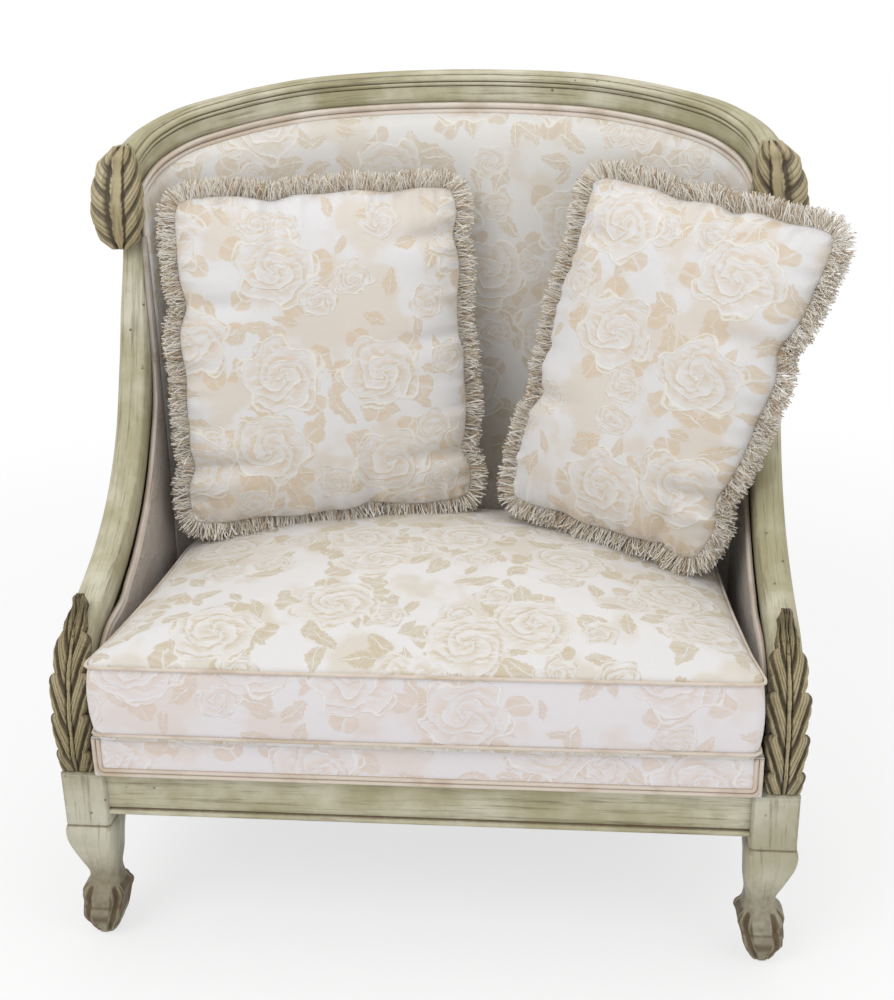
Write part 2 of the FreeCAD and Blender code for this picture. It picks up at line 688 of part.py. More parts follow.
cushion_outside = cushion_form(0.0)
save("cushion_cover", hollow(cushion_outside, cushion_form(cloth)))
save("cushion_core", cushion_form(cloth + 2 * fit_gap))


# Piping stands out of the seams above and below the boxing.
def piping(level):
    outer = Part.Face(cushion_outline(-fit_gap - piping_width, 1, cushion_low + level))
    inner = Part.Face(cushion_outline(-fit_gap, 1, cushion_low + level))
    return outer.cut(inner).extrude(Vector(0, 0, piping_width))


save("cushion_piping_top", piping(boxing_height - piping_width - 1))
save("cushion_piping_bottom", piping(8.0))


# Pillows: pointed corners, sides drawn in between them, thick in the middle, fringe on the seam.
def pillow_wire(corners, share, draw, level):
    points = [Vector(x * share, level, z * share) for x, z in corners]
    edges = []
    for a, b in zip(points, points[1:] + points[:1]):
        middle = (a + b) / 2
        inwards = Vector(-middle.x, 0, -middle.z).normalize()
        edges.append(Part.Arc(a, middle + inwards * draw, b).toShape())
    return Part.Wire(edges)


pillow_shares = [0.1, 0.3, 0.48, 0.64, 0.78, 0.9, 0.97]
pillow_levels = [(-(1 - share ** 2.6) ** 0.8, share, 40 * share - 24) for share in pillow_shares]
pillow_levels += [(0.0, 1.0, pillow_draw)] + [
    (-level, share, draw) for level, share, draw in reversed(pillow_levels)]


def pillow_form(corners, inset):
    size = min(abs(value) for corner in corners for value in corner)
    return Part.makeLoft([pillow_wire(corners, share - inset / size, draw,
                                      level * (pillow_half - inset))
                          for level, share, draw in pillow_levels], True, True)


def pillow(name, lie):
    corners = lie["corners"]
    turn = (Rotation(Vector(0, 0, 1), -lie["yaw"]) * Rotation(Vector(1, 0, 0), lie["lean"])
            * Rotation(Vector(0, 1, 0), lie["roll"]))
    from_side, from_back, above = lie["middle"]
    middle = at(lie["side"] * (inner_half - from_side), arm_straight + back_round - from_back,
                cushion_top + above)
    place = Placement(middle, turn)
    size = max(abs(x) for x, _ in corners)
    cover = hollow(pillow_form(corners, 0.0), pillow_form(corners, cloth))
    filling = pillow_form(corners, cloth + 2 * fit_gap)
    wide = pillow_wire(corners, 1 + fringe_width / size, pillow_draw, -fringe_thick / 2)
    narrow = pillow_wire(corners, 1 + fit_gap / size, pillow_draw, -fringe_thick / 2)
    fringe = Part.Face(wide).cut(Part.Face(narrow)).extrude(Vector(0, fringe_thick, 0))
    for piece, shape in (("cover", cover), ("filling", filling), ("fringe", fringe)):
        shape = shape.copy()
        shape.Placement = place.multiply(shape.Placement)
        save(name + "_" + piece, shape)


pillow("left_pillow", left_pillow)
pillow("right_pillow", right_pillow)
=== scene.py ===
import math
import bpy
import bmesh
import numpy as np
from mathutils import Matrix, Vector


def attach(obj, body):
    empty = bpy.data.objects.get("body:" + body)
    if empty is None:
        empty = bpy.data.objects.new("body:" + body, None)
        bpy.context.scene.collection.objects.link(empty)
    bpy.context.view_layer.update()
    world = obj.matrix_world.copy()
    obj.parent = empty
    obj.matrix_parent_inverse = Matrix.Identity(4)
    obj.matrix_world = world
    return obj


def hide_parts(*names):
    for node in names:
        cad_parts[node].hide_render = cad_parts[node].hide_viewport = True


# A wide bergere: painted and carved frame, rose jacquard upholstery, a loose seat cushion
# and two fringed pillows. Metres, +X to the right, +Y to the back, +Z up.

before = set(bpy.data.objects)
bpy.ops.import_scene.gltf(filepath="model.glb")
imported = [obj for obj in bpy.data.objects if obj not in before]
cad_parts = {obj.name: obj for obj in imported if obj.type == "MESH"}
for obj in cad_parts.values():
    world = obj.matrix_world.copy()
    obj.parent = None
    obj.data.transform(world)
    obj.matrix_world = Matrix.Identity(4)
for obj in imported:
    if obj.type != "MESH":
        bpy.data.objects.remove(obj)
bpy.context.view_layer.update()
print("frame loaded")


# How far along a line each of its points lies, and the line again with even steps.
def lengthsOf(points):
    return np.append(0, np.cumsum(np.linalg.norm(np.diff(points, axis=0), axis=1)))


def evenly(points, count, endpoint=True):
    length = lengthsOf(points)
    even = np.linspace(0, length[-1], count, endpoint=endpoint)
    return even, np.stack([np.interp(even, length, column) for column in points.T], 1)


# The frame's plan. A run is measured along the rails' inner face, from the front of the
# right arm round the back to the front of the left arm.
plan = {"innerHalf": 0.419, "armStraight": 0.347, "backRound": 0.233, "roundness": 2.46,
        "originDepth": 0.330, "fine": 900, "steps": 400}


def rimTable():
    angle = np.linspace(0, math.pi / 2, plan["fine"])
    power = 2 / plan["roundness"]
    x = plan["innerHalf"] * np.clip(np.cos(angle), 0, 1) ** power
    y = plan["armStraight"] + plan["backRound"] * np.sin(angle) ** power
    return evenly(np.stack([x, y], 1), plan["steps"])


rimLength, rimPoints = rimTable()
rimX, rimY = rimPoints.T
rimWayX, rimWayY = np.gradient(rimX, rimLength), np.gradient(rimY, rimLength)
halfRun = plan["armStraight"] + rimLength[-1]


def rim(run, offset, z):
    mirrored = run > halfRun
    near = 2 * halfRun - run if mirrored else run
    if near <= plan["armStraight"]:
        x, y = plan["innerHalf"] + offset, near
    else:
        s = min(near - plan["armStraight"], rimLength[-1])
        wayX, wayY = np.interp(s, rimLength, rimWayX), np.interp(s, rimLength, rimWayY)
        size = math.hypot(wayX, wayY)
        x = np.interp(s, rimLength, rimX) + offset * wayY / size
        y = np.interp(s, rimLength, rimY) - offset * wayX / size
    return (-x if mirrored else x, y - plan["originDepth"], z)


# A smooth curve through a few points, with even steps along it.
def through(points, count):
    p = np.array(points, float)
    p = np.vstack([2 * p[0] - p[1], p, 2 * p[-1] - p[-2]])
    fine = []
    for a, b, c, d in zip(p, p[1:], p[2:], p[3:]):
        for t in np.linspace(0, 1, 24, endpoint=False):
            fine.append(0.5 * (2 * b + (c - a) * t + (2 * a - 5 * b + 4 * c - d) * t ** 2
                               + (3 * b - a - 3 * c + d) * t ** 3))
    return evenly(np.array(fine + [p[-2]]), count)[1]


# The arm's top, the crest's top and the inside cover's top: run, height.
lines = {
    "arm": [(0.009, 0.243), (0.009, 0.290), (0.013, 0.335), (0.028, 0.380), (0.056, 0.415),
            (0.088, 0.434), (0.124, 0.447), (0.171, 0.467), (0.210, 0.488), (0.249, 0.515),
            (0.284, 0.548), (0.317, 0.590), (0.342, 0.635), (0.364, 0.695), (0.379, 0.755),
            (0.391, 0.800), (0.3985, 0.840), (0.402, 0.885), (0.402, 0.950)],
    "crest": [(0.3985, 0.958), (0.438, 0.983), (0.474, 0.999), (0.512, 1.012), (0.564, 1.024),
              (0.614, 1.034), (0.680, 1.044), (0.746, 1.049), (0.818, 1.052), (0.888, 1.053)],
    "cover": [(0.058, 0.374), (0.104, 0.402), (0.164, 0.412), (0.193, 0.427), (0.230, 0.446),
              (0.264, 0.470), (0.299, 0.499), (0.331, 0.535), (0.359, 0.578), (0.380, 0.626),
              (0.390, 0.700), (0.393, 0.770), (0.396, 0.850), (0.398, 0.921)],
}
crestFine = through(lines["crest"], 300)
crestDepth = 0.039
armDepth = 0.040


def crestHeight(run):
    near = np.minimum(run, 2 * halfRun - run)
    return float(np.interp(near, crestFine[:, 0], crestFine[:, 1]))


# Mesh building. marks are point attributes for the materials; weld joins sheets that meet.
def addPiece(name, verts, faces, uv, marks=None, weld=0.0):
    mesh = bpy.data.meshes.new(name)
    mesh.from_pydata([tuple(v) for v in verts], [], faces)
    layer = mesh.uv_layers.new(name="cloth")
    layer.data.foreach_set("uv", np.array(uv, np.float32).reshape(-1))
    for key, values in (marks or {}).items():
        attribute = mesh.attributes.new(key, "FLOAT", "POINT")
        attribute.data.foreach_set("value", np.array(values, np.float32))
    work = bmesh.new()
    work.from_mesh(mesh)
    if weld:
        bmesh.ops.remove_doubles(work, verts=work.verts, dist=weld)
    bmesh.ops.recalc_face_normals(work, faces=work.faces)
    work.to_mesh(mesh)
    work.free()
    for face in mesh.polygons:
        face.use_smooth = True
    piece = bpy.data.objects.new(name, mesh)
    bpy.context.scene.collection.objects.link(piece)
    return piece


def gridFaces(rows, columns, loopAcross=False):
    faces = []
    for i in range(rows - 1):
        for j in range(columns if loopAcross else columns - 1):
            k = (j + 1) % columns
            faces.append((i * columns + j, i * columns + k, (i + 1) * columns + k,
                          (i + 1) * columns + j))
    return faces


def loopUv(faces, uvPoints):
    return [uvPoints[i] for face in faces for i in face]


def rimFaces(rows, columns, shift):
    loop = list(range(columns))
    loop += [i * columns + columns - 1 for i in range(1, rows)]
    loop += [(rows - 1) * columns + j for j in range(columns - 2, -1, -1)]
    loop += [i * columns for i in range(rows - 2, 0, -1)]
    return [(a, a + shift, b + shift, b) for a, b in zip(loop, loop[1:] + loop[:1])]


# A closed shell of two sheets, the second's points after the first's.
def addShell(name, points, columns, uvPoints, marks=None):
    count = len(points) // 2
    faces = gridFaces(count // columns, columns)
    faces += [tuple(i + count for i in face[::-1]) for face in faces]
    faces += rimFaces(count // columns, columns, count)
    return addPiece(name, points, faces, loopUv(faces, uvPoints * 2), marks)


# The same points for the right side and, mirrored, for the left.
def bothSides(points):
    flipped = np.array(points, float)
    flipped[..., 0] *= -1
    return (("right", np.array(points, float)), ("left", flipped))


# A tube of closed sections, with caps. Its cloth is measured along and around it.
def sweep(name, sections, glazeAndShade):
    sections = np.array(sections, float)
    count, around = sections.shape[:2]
    along, girth = lengthsOf(sections.mean(1)), lengthsOf(np.vstack([sections[0], sections[0][:1]]))
    faces = gridFaces(count, around, loopAcross=True)
    uv = []
    for i in range(count - 1):
        for j in range(around):
            uv += [(along[i], girth[j]), (along[i], girth[j + 1]),
                   (along[i + 1], girth[j + 1]), (along[i + 1], girth[j])]
    for ring in (0, count - 1):
        faces.append([ring * around + j for j in range(around)])
        uv += [(along[ring], girth[j]) for j in range(around)]
    glazeAndShade = np.array(glazeAndShade, float)
    glazeAndShade = np.tile(glazeAndShade, count) if glazeAndShade.ndim == 1 else glazeAndShade.reshape(-1)
    return addPiece(name, sections.reshape(-1, 3), faces, uv, {"glazeAndShade": glazeAndShade})


def finishPiece(piece, body, material, nodes):
    piece.data.materials.clear()
    piece.data.materials.append(material)
    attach(piece, body)
    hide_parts(*nodes)


def sweepPair(name, sections, glazeAndShade, material, node):
    for side, body in bothSides(sections):
        piece = sweep(name + side.title(), body, glazeAndShade)
        finishPiece(piece, "frame", material, [node + side])


# Node trees. A wire is a socket whose arithmetic adds the nodes that it needs.
class Wire:
    def __init__(self, tree, socket):
        self.tree, self.socket = tree, socket

    def math(self, operation, *others):
        return calc(self.tree, operation, self, *others)

    def __add__(self, other):
        return self.math("ADD", other)

    def __mul__(self, other):
        return self.math("MULTIPLY", other)

    def __sub__(self, other):
        return self.math("SUBTRACT", other)

    def __rsub__(self, other):
        return calc(self.tree, "SUBTRACT", other, self)

    def __truediv__(self, other):
        return self.math("DIVIDE", other)

    def __pow__(self, other):
        return self.math("POWER", other)

    def __abs__(self):
        return self.math("ABSOLUTE")

    __radd__, __rmul__ = __add__, __mul__

    # A smooth step from 0 at low to 1 at high.
    def step(self, low, high):
        return node(self.tree, "ShaderNodeMapRange", {"Value": self, "From Min": low,
                    "From Max": high}, 0, interpolation_type="SMOOTHSTEP")


def plug(tree, socket, value):
    if isinstance(value, Wire):
        tree.links.new(value.socket, socket)
    elif value is not None:
        socket.default_value = value


# A node, or the wire out of one of its outputs.
def node(tree, kind, inputs=None, out=None, **settings):
    made = tree.nodes.new(kind)
    for key, value in settings.items():
        setattr(made, key, value)
    for key, value in (inputs or {}).items():
        plug(tree, made.inputs[key], value)
    return made if out is None else Wire(tree, made.outputs[out])


def calc(tree, operation, *values):
    return node(tree, "ShaderNodeMath", dict(enumerate(values)), 0, operation=operation)


def vec(tree, operation, *values, out=0):
    inputs = dict(enumerate(values))
    if operation == "SCALE":
        inputs = {0: values[0], "Scale": values[1]}
    return node(tree, "ShaderNodeVectorMath", inputs, out, operation=operation)


def noise(tree, place, scale, detail=2.0, rough=0.5, flat=False, out="Fac"):
    return node(tree, "ShaderNodeTexNoise", {"Vector": place, "Scale": scale, "Detail": detail,
                "Roughness": rough}, out, noise_dimensions="2D" if flat else "3D")


def split(place, kind="XYZ"):
    made = node(place.tree, "ShaderNodeSeparate" + kind, {0: place})
    return [Wire(place.tree, socket) for socket in made.outputs]


def mixColour(tree, factor, a, b, blend="MIX"):
    return node(tree, "ShaderNodeMix", {0: factor, 6: a, 7: b}, 2, data_type="RGBA",
                blend_type=blend)


# A group from its sockets' names and types, its inputs as wires, and its outputs.
def newGroup(name, inputs, outputs, kind="ShaderNodeTree"):
    group = bpy.data.node_groups.new(name, kind)
    for way, sockets in (("INPUT", inputs), ("OUTPUT", outputs)):
        for label, socketType in sockets.items():
            group.interface.new_socket(label, in_out=way, socket_type="NodeSocket" + socketType)
    enter = {socket.name: Wire(group, socket)
             for socket in group.nodes.new("NodeGroupInput").outputs if socket.name}
    return group, enter, group.nodes.new("NodeGroupOutput").inputs


def useGroup(tree, group, inputs):
    made = node(tree, "ShaderNodeGroup", node_tree=group)
    for key, value in inputs.items():
        plug(tree, made.inputs[key], value)
    return {socket.name: Wire(tree, socket) for socket in made.outputs}


def newMaterial(name):
    material = bpy.data.materials.new(name)
    material.use_nodes = True
    tree = material.node_tree
    tree.nodes.clear()
    shader = node(tree, "ShaderNodeBsdfPrincipled")
    node(tree, "ShaderNodeOutputMaterial", {"Surface": Wire(tree, shader.outputs[0])})
    return material, tree, shader


def setLook(tree, shader, values, height=None, strength=0.0, distance=0.0):
    for key, value in values.items():
        plug(tree, shader.inputs[key], value)
    if height is not None:
        plug(tree, shader.inputs["Normal"], node(tree, "ShaderNodeBump", {
            "Height": height, "Strength": strength, "Distance": distance}, 0))


def objectPlace(tree):
    return node(tree, "ShaderNodeTexCoord", out="Object")


def mark(tree, name):
    return node(tree, "ShaderNodeAttribute", out="Fac", attribute_name=name)


def clothPlace(tree):
    return node(tree, "ShaderNodeUVMap", out=0, uv_map="cloth")


# Distressed paint: streaks along the grain, brown glaze in the hollows, specks and worm holes.
def paintGroup():
    group, take, give = newGroup("distressedPaint", {
        "Place": "Vector", "Grain": "Vector", "Glaze": "Float", "Paint": "Color",
        "Pale": "Color", "Brown": "Color", "Wash": "Float", "Specks": "Float"},
        {"Color": "Color", "Roughness": "Float", "Height": "Float"})
    place, grain, brown = take["Place"], take["Grain"], take["Brown"]
    streak = noise(group, vec(group, "MULTIPLY", grain, (5.0, 95.0, 95.0)), 1.0, 6.0, 0.7)
    fine = noise(group, vec(group, "MULTIPLY", grain, (14.0, 420.0, 420.0)), 1.0, 3.0)
    wash = noise(group, place, 9.0, 4.0, 0.6).step(0.35, 0.7) * take["Wash"]
    colour = mixColour(group, wash, take["Paint"], take["Pale"])
    dark = streak.step(0.50, 0.70) * 0.66
    colour = mixColour(group, dark, colour, brown)
    colour = mixColour(group, fine.step(0.55, 0.72) * 0.45, colour, brown)
    cell = node(group, "ShaderNodeTexVoronoi", {"Vector": place, "Scale": 62.0})
    pick = split(Wire(group, cell.outputs["Color"]), "Color")[0]
    sparse = pick.step(0.66, 0.7) * noise(group, place, 7.0).step(0.46, 0.58)
    hole = Wire(group, cell.outputs["Distance"]).step(0.17, 0.08) * sparse * take["Specks"]
    colour = mixColour(group, hole * 0.8, colour, (0.03, 0.02, 0.012, 1))
    edge = take["Glaze"] + (noise(group, place, 120.0, 3.0) - 0.5) * 0.35
    plug(group, give["Color"], mixColour(group, edge.step(0.12, 0.85) * 0.93, colour, brown))
    plug(group, give["Roughness"], streak * 0.28 + 0.42)
    plug(group, give["Height"], fine * 0.35 - hole * 1.2 - dark * 0.6)
    return group


paintLook = paintGroup()


def paintMaterial(name, paint, pale, brown, wash, specks, useUv, specular=0.42):
    material, tree, shader = newMaterial(name)
    place = objectPlace(tree)
    look = useGroup(tree, paintLook, {
        "Place": place, "Grain": clothPlace(tree) if useUv else place,
        "Glaze": mark(tree, "glazeAndShade"), "Paint": paint, "Pale": pale, "Brown": brown,
        "Wash": wash, "Specks": specks})
    setLook(tree, shader, {"Base Color": look["Color"], "Roughness": look["Roughness"],
                           "Specular IOR Level": specular}, look["Height"], 0.35, 0.0008)
    return material


frameColours = [(0.375, 0.345, 0.205, 1), (0.640, 0.610, 0.480, 1), (0.120, 0.080, 0.038, 1)]
legColours = [(0.40, 0.375, 0.255, 1), (0.60, 0.585, 0.48, 1), frameColours[2]]
leafColours = [(0.350, 0.285, 0.150, 1), (0.580, 0.500, 0.320, 1), (0.060, 0.042, 0.020, 1)]
railPaint = paintMaterial("railPaint", *frameColours, 0.9, 1.0, True)
legPaint = paintMaterial("legPaint", *legColours, 0.8, 0.7, True)
leafPaint = paintMaterial("leafPaint", *leafColours, 0.7, 0.0, True, 0.6)


# Rose jacquard. Roses, buds and leaves stand in cells of the cloth's own plane, tone on tone,
# with raised pale outlines. Place is a point of the cloth in metres.
def cells(bent, scale, shift, random):
    group = bent.tree
    scaled = vec(group, "MULTIPLY", vec(group, "ADD", bent, shift), (scale, scale, 0.0))
    cell = node(group, "ShaderNodeTexVoronoi", {"Vector": scaled, "Scale": 1.0,
                "Randomness": random}, voronoi_dimensions="2D")
    local = vec(group, "SUBTRACT", scaled, Wire(group, cell.outputs["Position"]))
    x, y, _ = split(local)
    return x, y, split(Wire(group, cell.outputs["Color"]), "Color")


# Petals in a spiral about the heart, each with a pale rim, and a ring of leaves outside them.
def roses(bent, scale, shift, reach, share):
    x, y, tone = cells(bent, scale, shift, 0.62)
    y = y * 1.12
    radius = (x * x + y * y).math("SQRT")
    angle = y.math("ARCTAN2", x) + tone[1] * 6.283
    ripple = (angle * 5.0 + radius * 9.0).math("SINE")
    room = ripple * (reach * 0.13) + reach - radius
    inside = room.step(0.0, 0.025)
    rings = radius / reach
    bulge = (angle * 3.0 + rings * 7.0).math("SINE") * 0.22
    petal = (rings ** 0.8 * 3.7 + angle * 0.4775 + bulge).math("FRACT")
    line = (petal.step(0.86, 0.97) + petal.step(0.10, 0.0)).math("MINIMUM", 1.0)
    edge = abs(room - 0.012).step(0.02, 0.004)
    chosen = tone[2].math("LESS_THAN", share)
    line = (line * inside).math("MAXIMUM", edge) * chosen
    shade = (1.0 - petal) * inside * chosen
    off = (radius - (reach + 0.06)) / 0.13
    ring = (angle * 5.0 + tone[0] * 6.283).math("COSINE") * 0.75 - off * off
    vein = abs((angle * 2.5 + tone[0] * 3.1416).math("SINE")).step(0.09, 0.03)
    ring = ring.step(0.0, 0.2) * (1.0 - vein * 0.7) * chosen
    return inside * chosen, shade, line, ring


# Pointed ovals with a midrib and veins, turned at random.
def leaves(bent, scale, shift, share):
    x, y, tone = cells(bent, scale, shift, 0.8)
    turn = tone[0] * 6.283
    cosine, sine = turn.math("COSINE"), turn.math("SINE")
    u, v = x * cosine + y * sine, abs(y * cosine - x * sine)
    side = 0.17 - u * u * 1.25 - v + (u * 60.0).math("SINE") * 0.012
    inside = side.step(0.0, 0.03)
    veins = (u * 42.0 - v * 60.0).math("SINE").step(0.75, 1.0) * inside
    chosen = tone[2].math("LESS_THAN", share)
    line = (v.step(0.02, 0.006) * inside).math("MAXIMUM", veins * 0.5) * chosen
    return inside * chosen, line


def roseGroup():
    group, take, give = newGroup("roseCloth", {"Place": "Vector"}, dict.fromkeys(
        ("Petal", "Line", "Leaf", "Wash", "Weave"), "Float"))
    place = take["Place"]
    warp = vec(group, "SUBTRACT", noise(group, place, 30.0, 4.0, flat=True, out="Color"),
               (0.5, 0.5, 0.5))
    bent = vec(group, "ADD", place, vec(group, "MULTIPLY", warp, (0.019, 0.019, 0.0)))
    big, bigShade, bigLine, ring = roses(bent, 7.0, (0.31, 0.17, 0.0), 0.39, 0.92)
    small, smallShade, smallLine, _ = roses(bent, 11.5, (1.27, 0.64, 0.0), 0.30, 0.62)
    free = 1.0 - big
    small, smallShade, smallLine = small * free, smallShade * free, smallLine * free
    free = free * (1.0 - small)
    leafA, leafLineA = leaves(bent, 15.0, (0.43, 0.91, 0.0), 0.80)
    leafB, leafLineB = leaves(bent, 21.0, (1.93, 0.38, 0.0), 0.55)
    leaf = leafA.math("MAXIMUM", leafB).math("MAXIMUM", ring) * free
    leafLine = leafLineA.math("MAXIMUM", leafLineB) * free
    wash = noise(group, bent, 9.0, 3.0, flat=True).step(0.46, 0.60)
    brush = noise(group, vec(group, "MULTIPLY", bent, (60.0, 190.0, 0.0)), 1.0, 3.0, flat=True)
    petal = bigShade.math("MAXIMUM", smallShade) * brush.step(0.25, 0.6)
    x, y, _ = split(place)
    weave = (x * 5200.0).math("SINE") * 0.5 + (y * 3600.0).math("SINE") * 0.5
    line = bigLine.math("MAXIMUM", smallLine).math("MAXIMUM", leafLine)
    for label, value in (("Petal", petal), ("Line", line), ("Leaf", leaf * (brush + 0.30)),
                         ("Wash", wash * free), ("Weave", weave)):
        plug(group, give[label], value)
    return group


roseLook = roseGroup()


def roseMaterial(name, ground, petal, leaf, line, strength, puff):
    material, tree, shader = newMaterial(name)
    place = clothPlace(tree)
    look = useGroup(tree, roseLook, {"Place": place})
    colour = mixColour(tree, look["Wash"] * (0.45 * strength), ground + (1,), petal + (1,))
    colour = mixColour(tree, look["Leaf"] * (0.85 * strength), colour, leaf + (1,))
    colour = mixColour(tree, look["Petal"] * (0.95 * strength), colour, petal + (1,))
    colour = mixColour(tree, look["Line"] * 0.8, colour, line + (1,))
    colour = mixColour(tree, 1.0, colour, look["Weave"] * 0.03 + 0.97, "MULTIPLY")
    height = look["Line"] + look["Weave"] * 0.05 + look["Petal"] * 0.25
    height = height + noise(tree, place, 85.0, 4.0, flat=True) * 0.9
    setLook(tree, shader, {"Base Color": colour, "Roughness": 0.78, "Specular IOR Level": 0.25,
                           "Sheen Weight": 0.25, "Sheen Roughness": 0.5},
            height, 0.55 * puff, 0.0014)
    return material


clothColours = {  # ground, petal, leaf, line; strength of the pattern, and of its relief
    "pillow": ((0.745, 0.735, 0.735), (0.670, 0.545, 0.395), (0.665, 0.535, 0.380),
               (0.810, 0.780, 0.715), 1.0, 1.0),
    "seat": ((0.750, 0.735, 0.725), (0.590, 0.490, 0.335), (0.560, 0.462, 0.305),
             (0.780, 0.755, 0.700), 1.0, 1.0),
    "boxing": ((0.780, 0.750, 0.765), (0.720, 0.585, 0.490), (0.700, 0.560, 0.450),
               (0.850, 0.815, 0.800), 0.85, 1.0),
    "back": ((0.720, 0.705, 0.680), (0.625, 0.520, 0.385), (0.610, 0.505, 0.370),
             (0.790, 0.765, 0.710), 0.9, 0.6),
    # shade: the same cloth darkened, painted shade for the inside arms
    "shade": ((0.420, 0.375, 0.340), (0.340, 0.275, 0.210), (0.330, 0.265, 0.200),
              (0.460, 0.415, 0.370), 0.8, 0.6),
}
pillowCloth, seatCloth, boxingCloth, backCloth, paintedShadeCloth = [
    roseMaterial(name + "Cloth", *values) for name, values in clothColours.items()]


# Plain cord covering, a finely ribbed cloth, painted darker in the welts' creases for shade.
def cordCloth(name, colour, dark):
    material, tree, shader = newMaterial(name)
    place = objectPlace(tree)
    ribs = noise(tree, place, 900.0, 2.0)
    mixed = mixColour(tree, noise(tree, place, 16.0, 3.0).step(0.42, 0.66), colour, dark)
    mixed = mixColour(tree, 1.0, mixed, ribs * 0.36 + 0.82, "MULTIPLY")
    # Painted shade: darker where the sweep marks the creases between and beside the welts' cords.
    mixed = mixColour(tree, mark(tree, "glazeAndShade") * 0.75, mixed, (0.24, 0.17, 0.10, 1))
    setLook(tree, shader, {"Base Color": mixed, "Roughness": 0.8, "Specular IOR Level": 0.25},
            ribs, 0.4, 0.0006)
    return material


weltCloth = cordCloth("weltCloth", (0.70, 0.63, 0.56, 1), (0.58, 0.49, 0.40, 1))
deckCloth = cordCloth("deckCloth", (0.60, 0.55, 0.48, 1), (0.52, 0.46, 0.38, 1))
pipingCloth = cordCloth("pipingCloth", (0.68, 0.60, 0.52, 1), (0.56, 0.46, 0.36, 1))


# Yarns of the brush fringe, each with its own tone.
yarnTones = [(0.0, (0.38, 0.26, 0.15, 1)), (0.22, (0.72, 0.58, 0.41, 1)),
             (0.42, (0.92, 0.86, 0.75, 1)), (1.0, (0.98, 0.96, 0.92, 1))]


def yarnMaterial():
    material, tree, shader = newMaterial("fringeYarn")
    stops = node(tree, "ShaderNodeValToRGB", {"Fac": mark(tree, "yarnTone")})
    elements = stops.color_ramp.elements
    elements[0].color, elements[1].color = yarnTones[0][1], yarnTones[-1][1]
    for position, colour in yarnTones[1:-1]:
        elements.new(position).color = colour
    setLook(tree, shader, {"Base Color": Wire(tree, stops.outputs["Color"]), "Roughness": 0.5,
            "Specular IOR Level": 0.4, "Sheen Weight": 0.6, "Sheen Roughness": 0.4})
    return material


yarn = yarnMaterial()


# Plain finishes for what is inside or under the chair.
def fibreMaterial(name, colour, dark, scale, rough=0.85, metal=0.0):
    material, tree, shader = newMaterial(name)
    grain = noise(tree, vec(tree, "MULTIPLY", objectPlace(tree), scale), 1.0, 5.0)
    mixed = mixColour(tree, grain.step(0.35, 0.7), colour + (1,), dark + (1,))
    setLook(tree, shader, {"Base Color": mixed, "Roughness": rough, "Metallic": metal},
            grain, 0.3, 0.0005)
    return material


bareBeech = fibreMaterial("bareBeech", (0.52, 0.34, 0.17), (0.40, 0.24, 0.11),
                          (30.0, 30.0, 400.0), 0.6)
springSteel = fibreMaterial("springSteel", (0.42, 0.42, 0.43), (0.30, 0.29, 0.28),
                            (90.0, 90.0, 90.0), 0.35, 1.0)
glideNylon = fibreMaterial("glideNylon", (0.055, 0.042, 0.032), (0.035, 0.026, 0.02),
                           (200.0, 200.0, 200.0), 0.5)
hessianCloth = fibreMaterial("hessianCloth", (0.30, 0.22, 0.12), (0.17, 0.12, 0.06),
                             (700.0, 700.0, 700.0))
wadding = fibreMaterial("wadding", (0.80, 0.77, 0.70), (0.66, 0.62, 0.54), (120.0, 120.0, 120.0))
dustCloth = fibreMaterial("dustCloth", (0.035, 0.033, 0.032), (0.02, 0.02, 0.02),
                          (900.0, 900.0, 900.0))
print("materials made")


# Moulded rails. A profile point is (offset from the inner face, second size, glaze).
railShape = {"armSteps": 90, "crestSteps": 170, "frontSteps": 60, "groove": 0.0022,
             "bead": -0.0021, "flat": -0.0005}


def sidePlace(fine, index, depth):
    way = fine[min(index + 1, len(fine) - 1)] - fine[max(index - 1, 0)]
    way = way / np.linalg.norm(way)
    return fine[index][0] + depth * way[1], fine[index][1] - depth * way[0]


# A profile carried along a line of the arm's side, its second size measured down from it.
def sideSections(line, count, ring):
    fine = through(lines[line], count)
    sections = []
    for index in range(count):
        spots = [(offset, *sidePlace(fine, index, depth)) for offset, depth, _ in ring]
        sections.append([rim(run, offset, z) for offset, run, z in spots])
    return sections


# A profile carried round the crest, its second size measured up from the crest's top.
def crestSections(count, ring):
    start = lines["crest"][0][0]
    return [[rim(run, offset, crestHeight(run) + rise) for offset, rise, _ in ring]
            for run in np.linspace(start, 2 * halfRun - start, count)]


def glazeAndShadeOf(ring):
    return [point[-1] for point in ring]


armRing = [(0.0, armDepth, 0.0), (0.0, armDepth * 0.6, 0.0), (0.0, 0.0125, 0.1),
           (0.0005, 0.0095, 0.3), (0.002, 0.0070, 0.25), (0.005, 0.0048, 0.05),
           (0.0095, 0.0027, 0.0), (0.0145, 0.0012, 0.0), (0.020, 0.0004, 0.0),
           (0.026, 0.0009, 0.0), (0.031, 0.0024, 0.0), (0.0355, 0.0050, 0.0),
           (0.0382, 0.0085, 0.05), (0.0396, 0.0130, 0.1), (0.040, 0.0200, 0.0),
           (0.040, armDepth, 0.0)]
sweepPair("armRail", sideSections("arm", railShape["armSteps"], armRing), glazeAndShadeOf(armRing),
          railPaint, "arm_rail_")


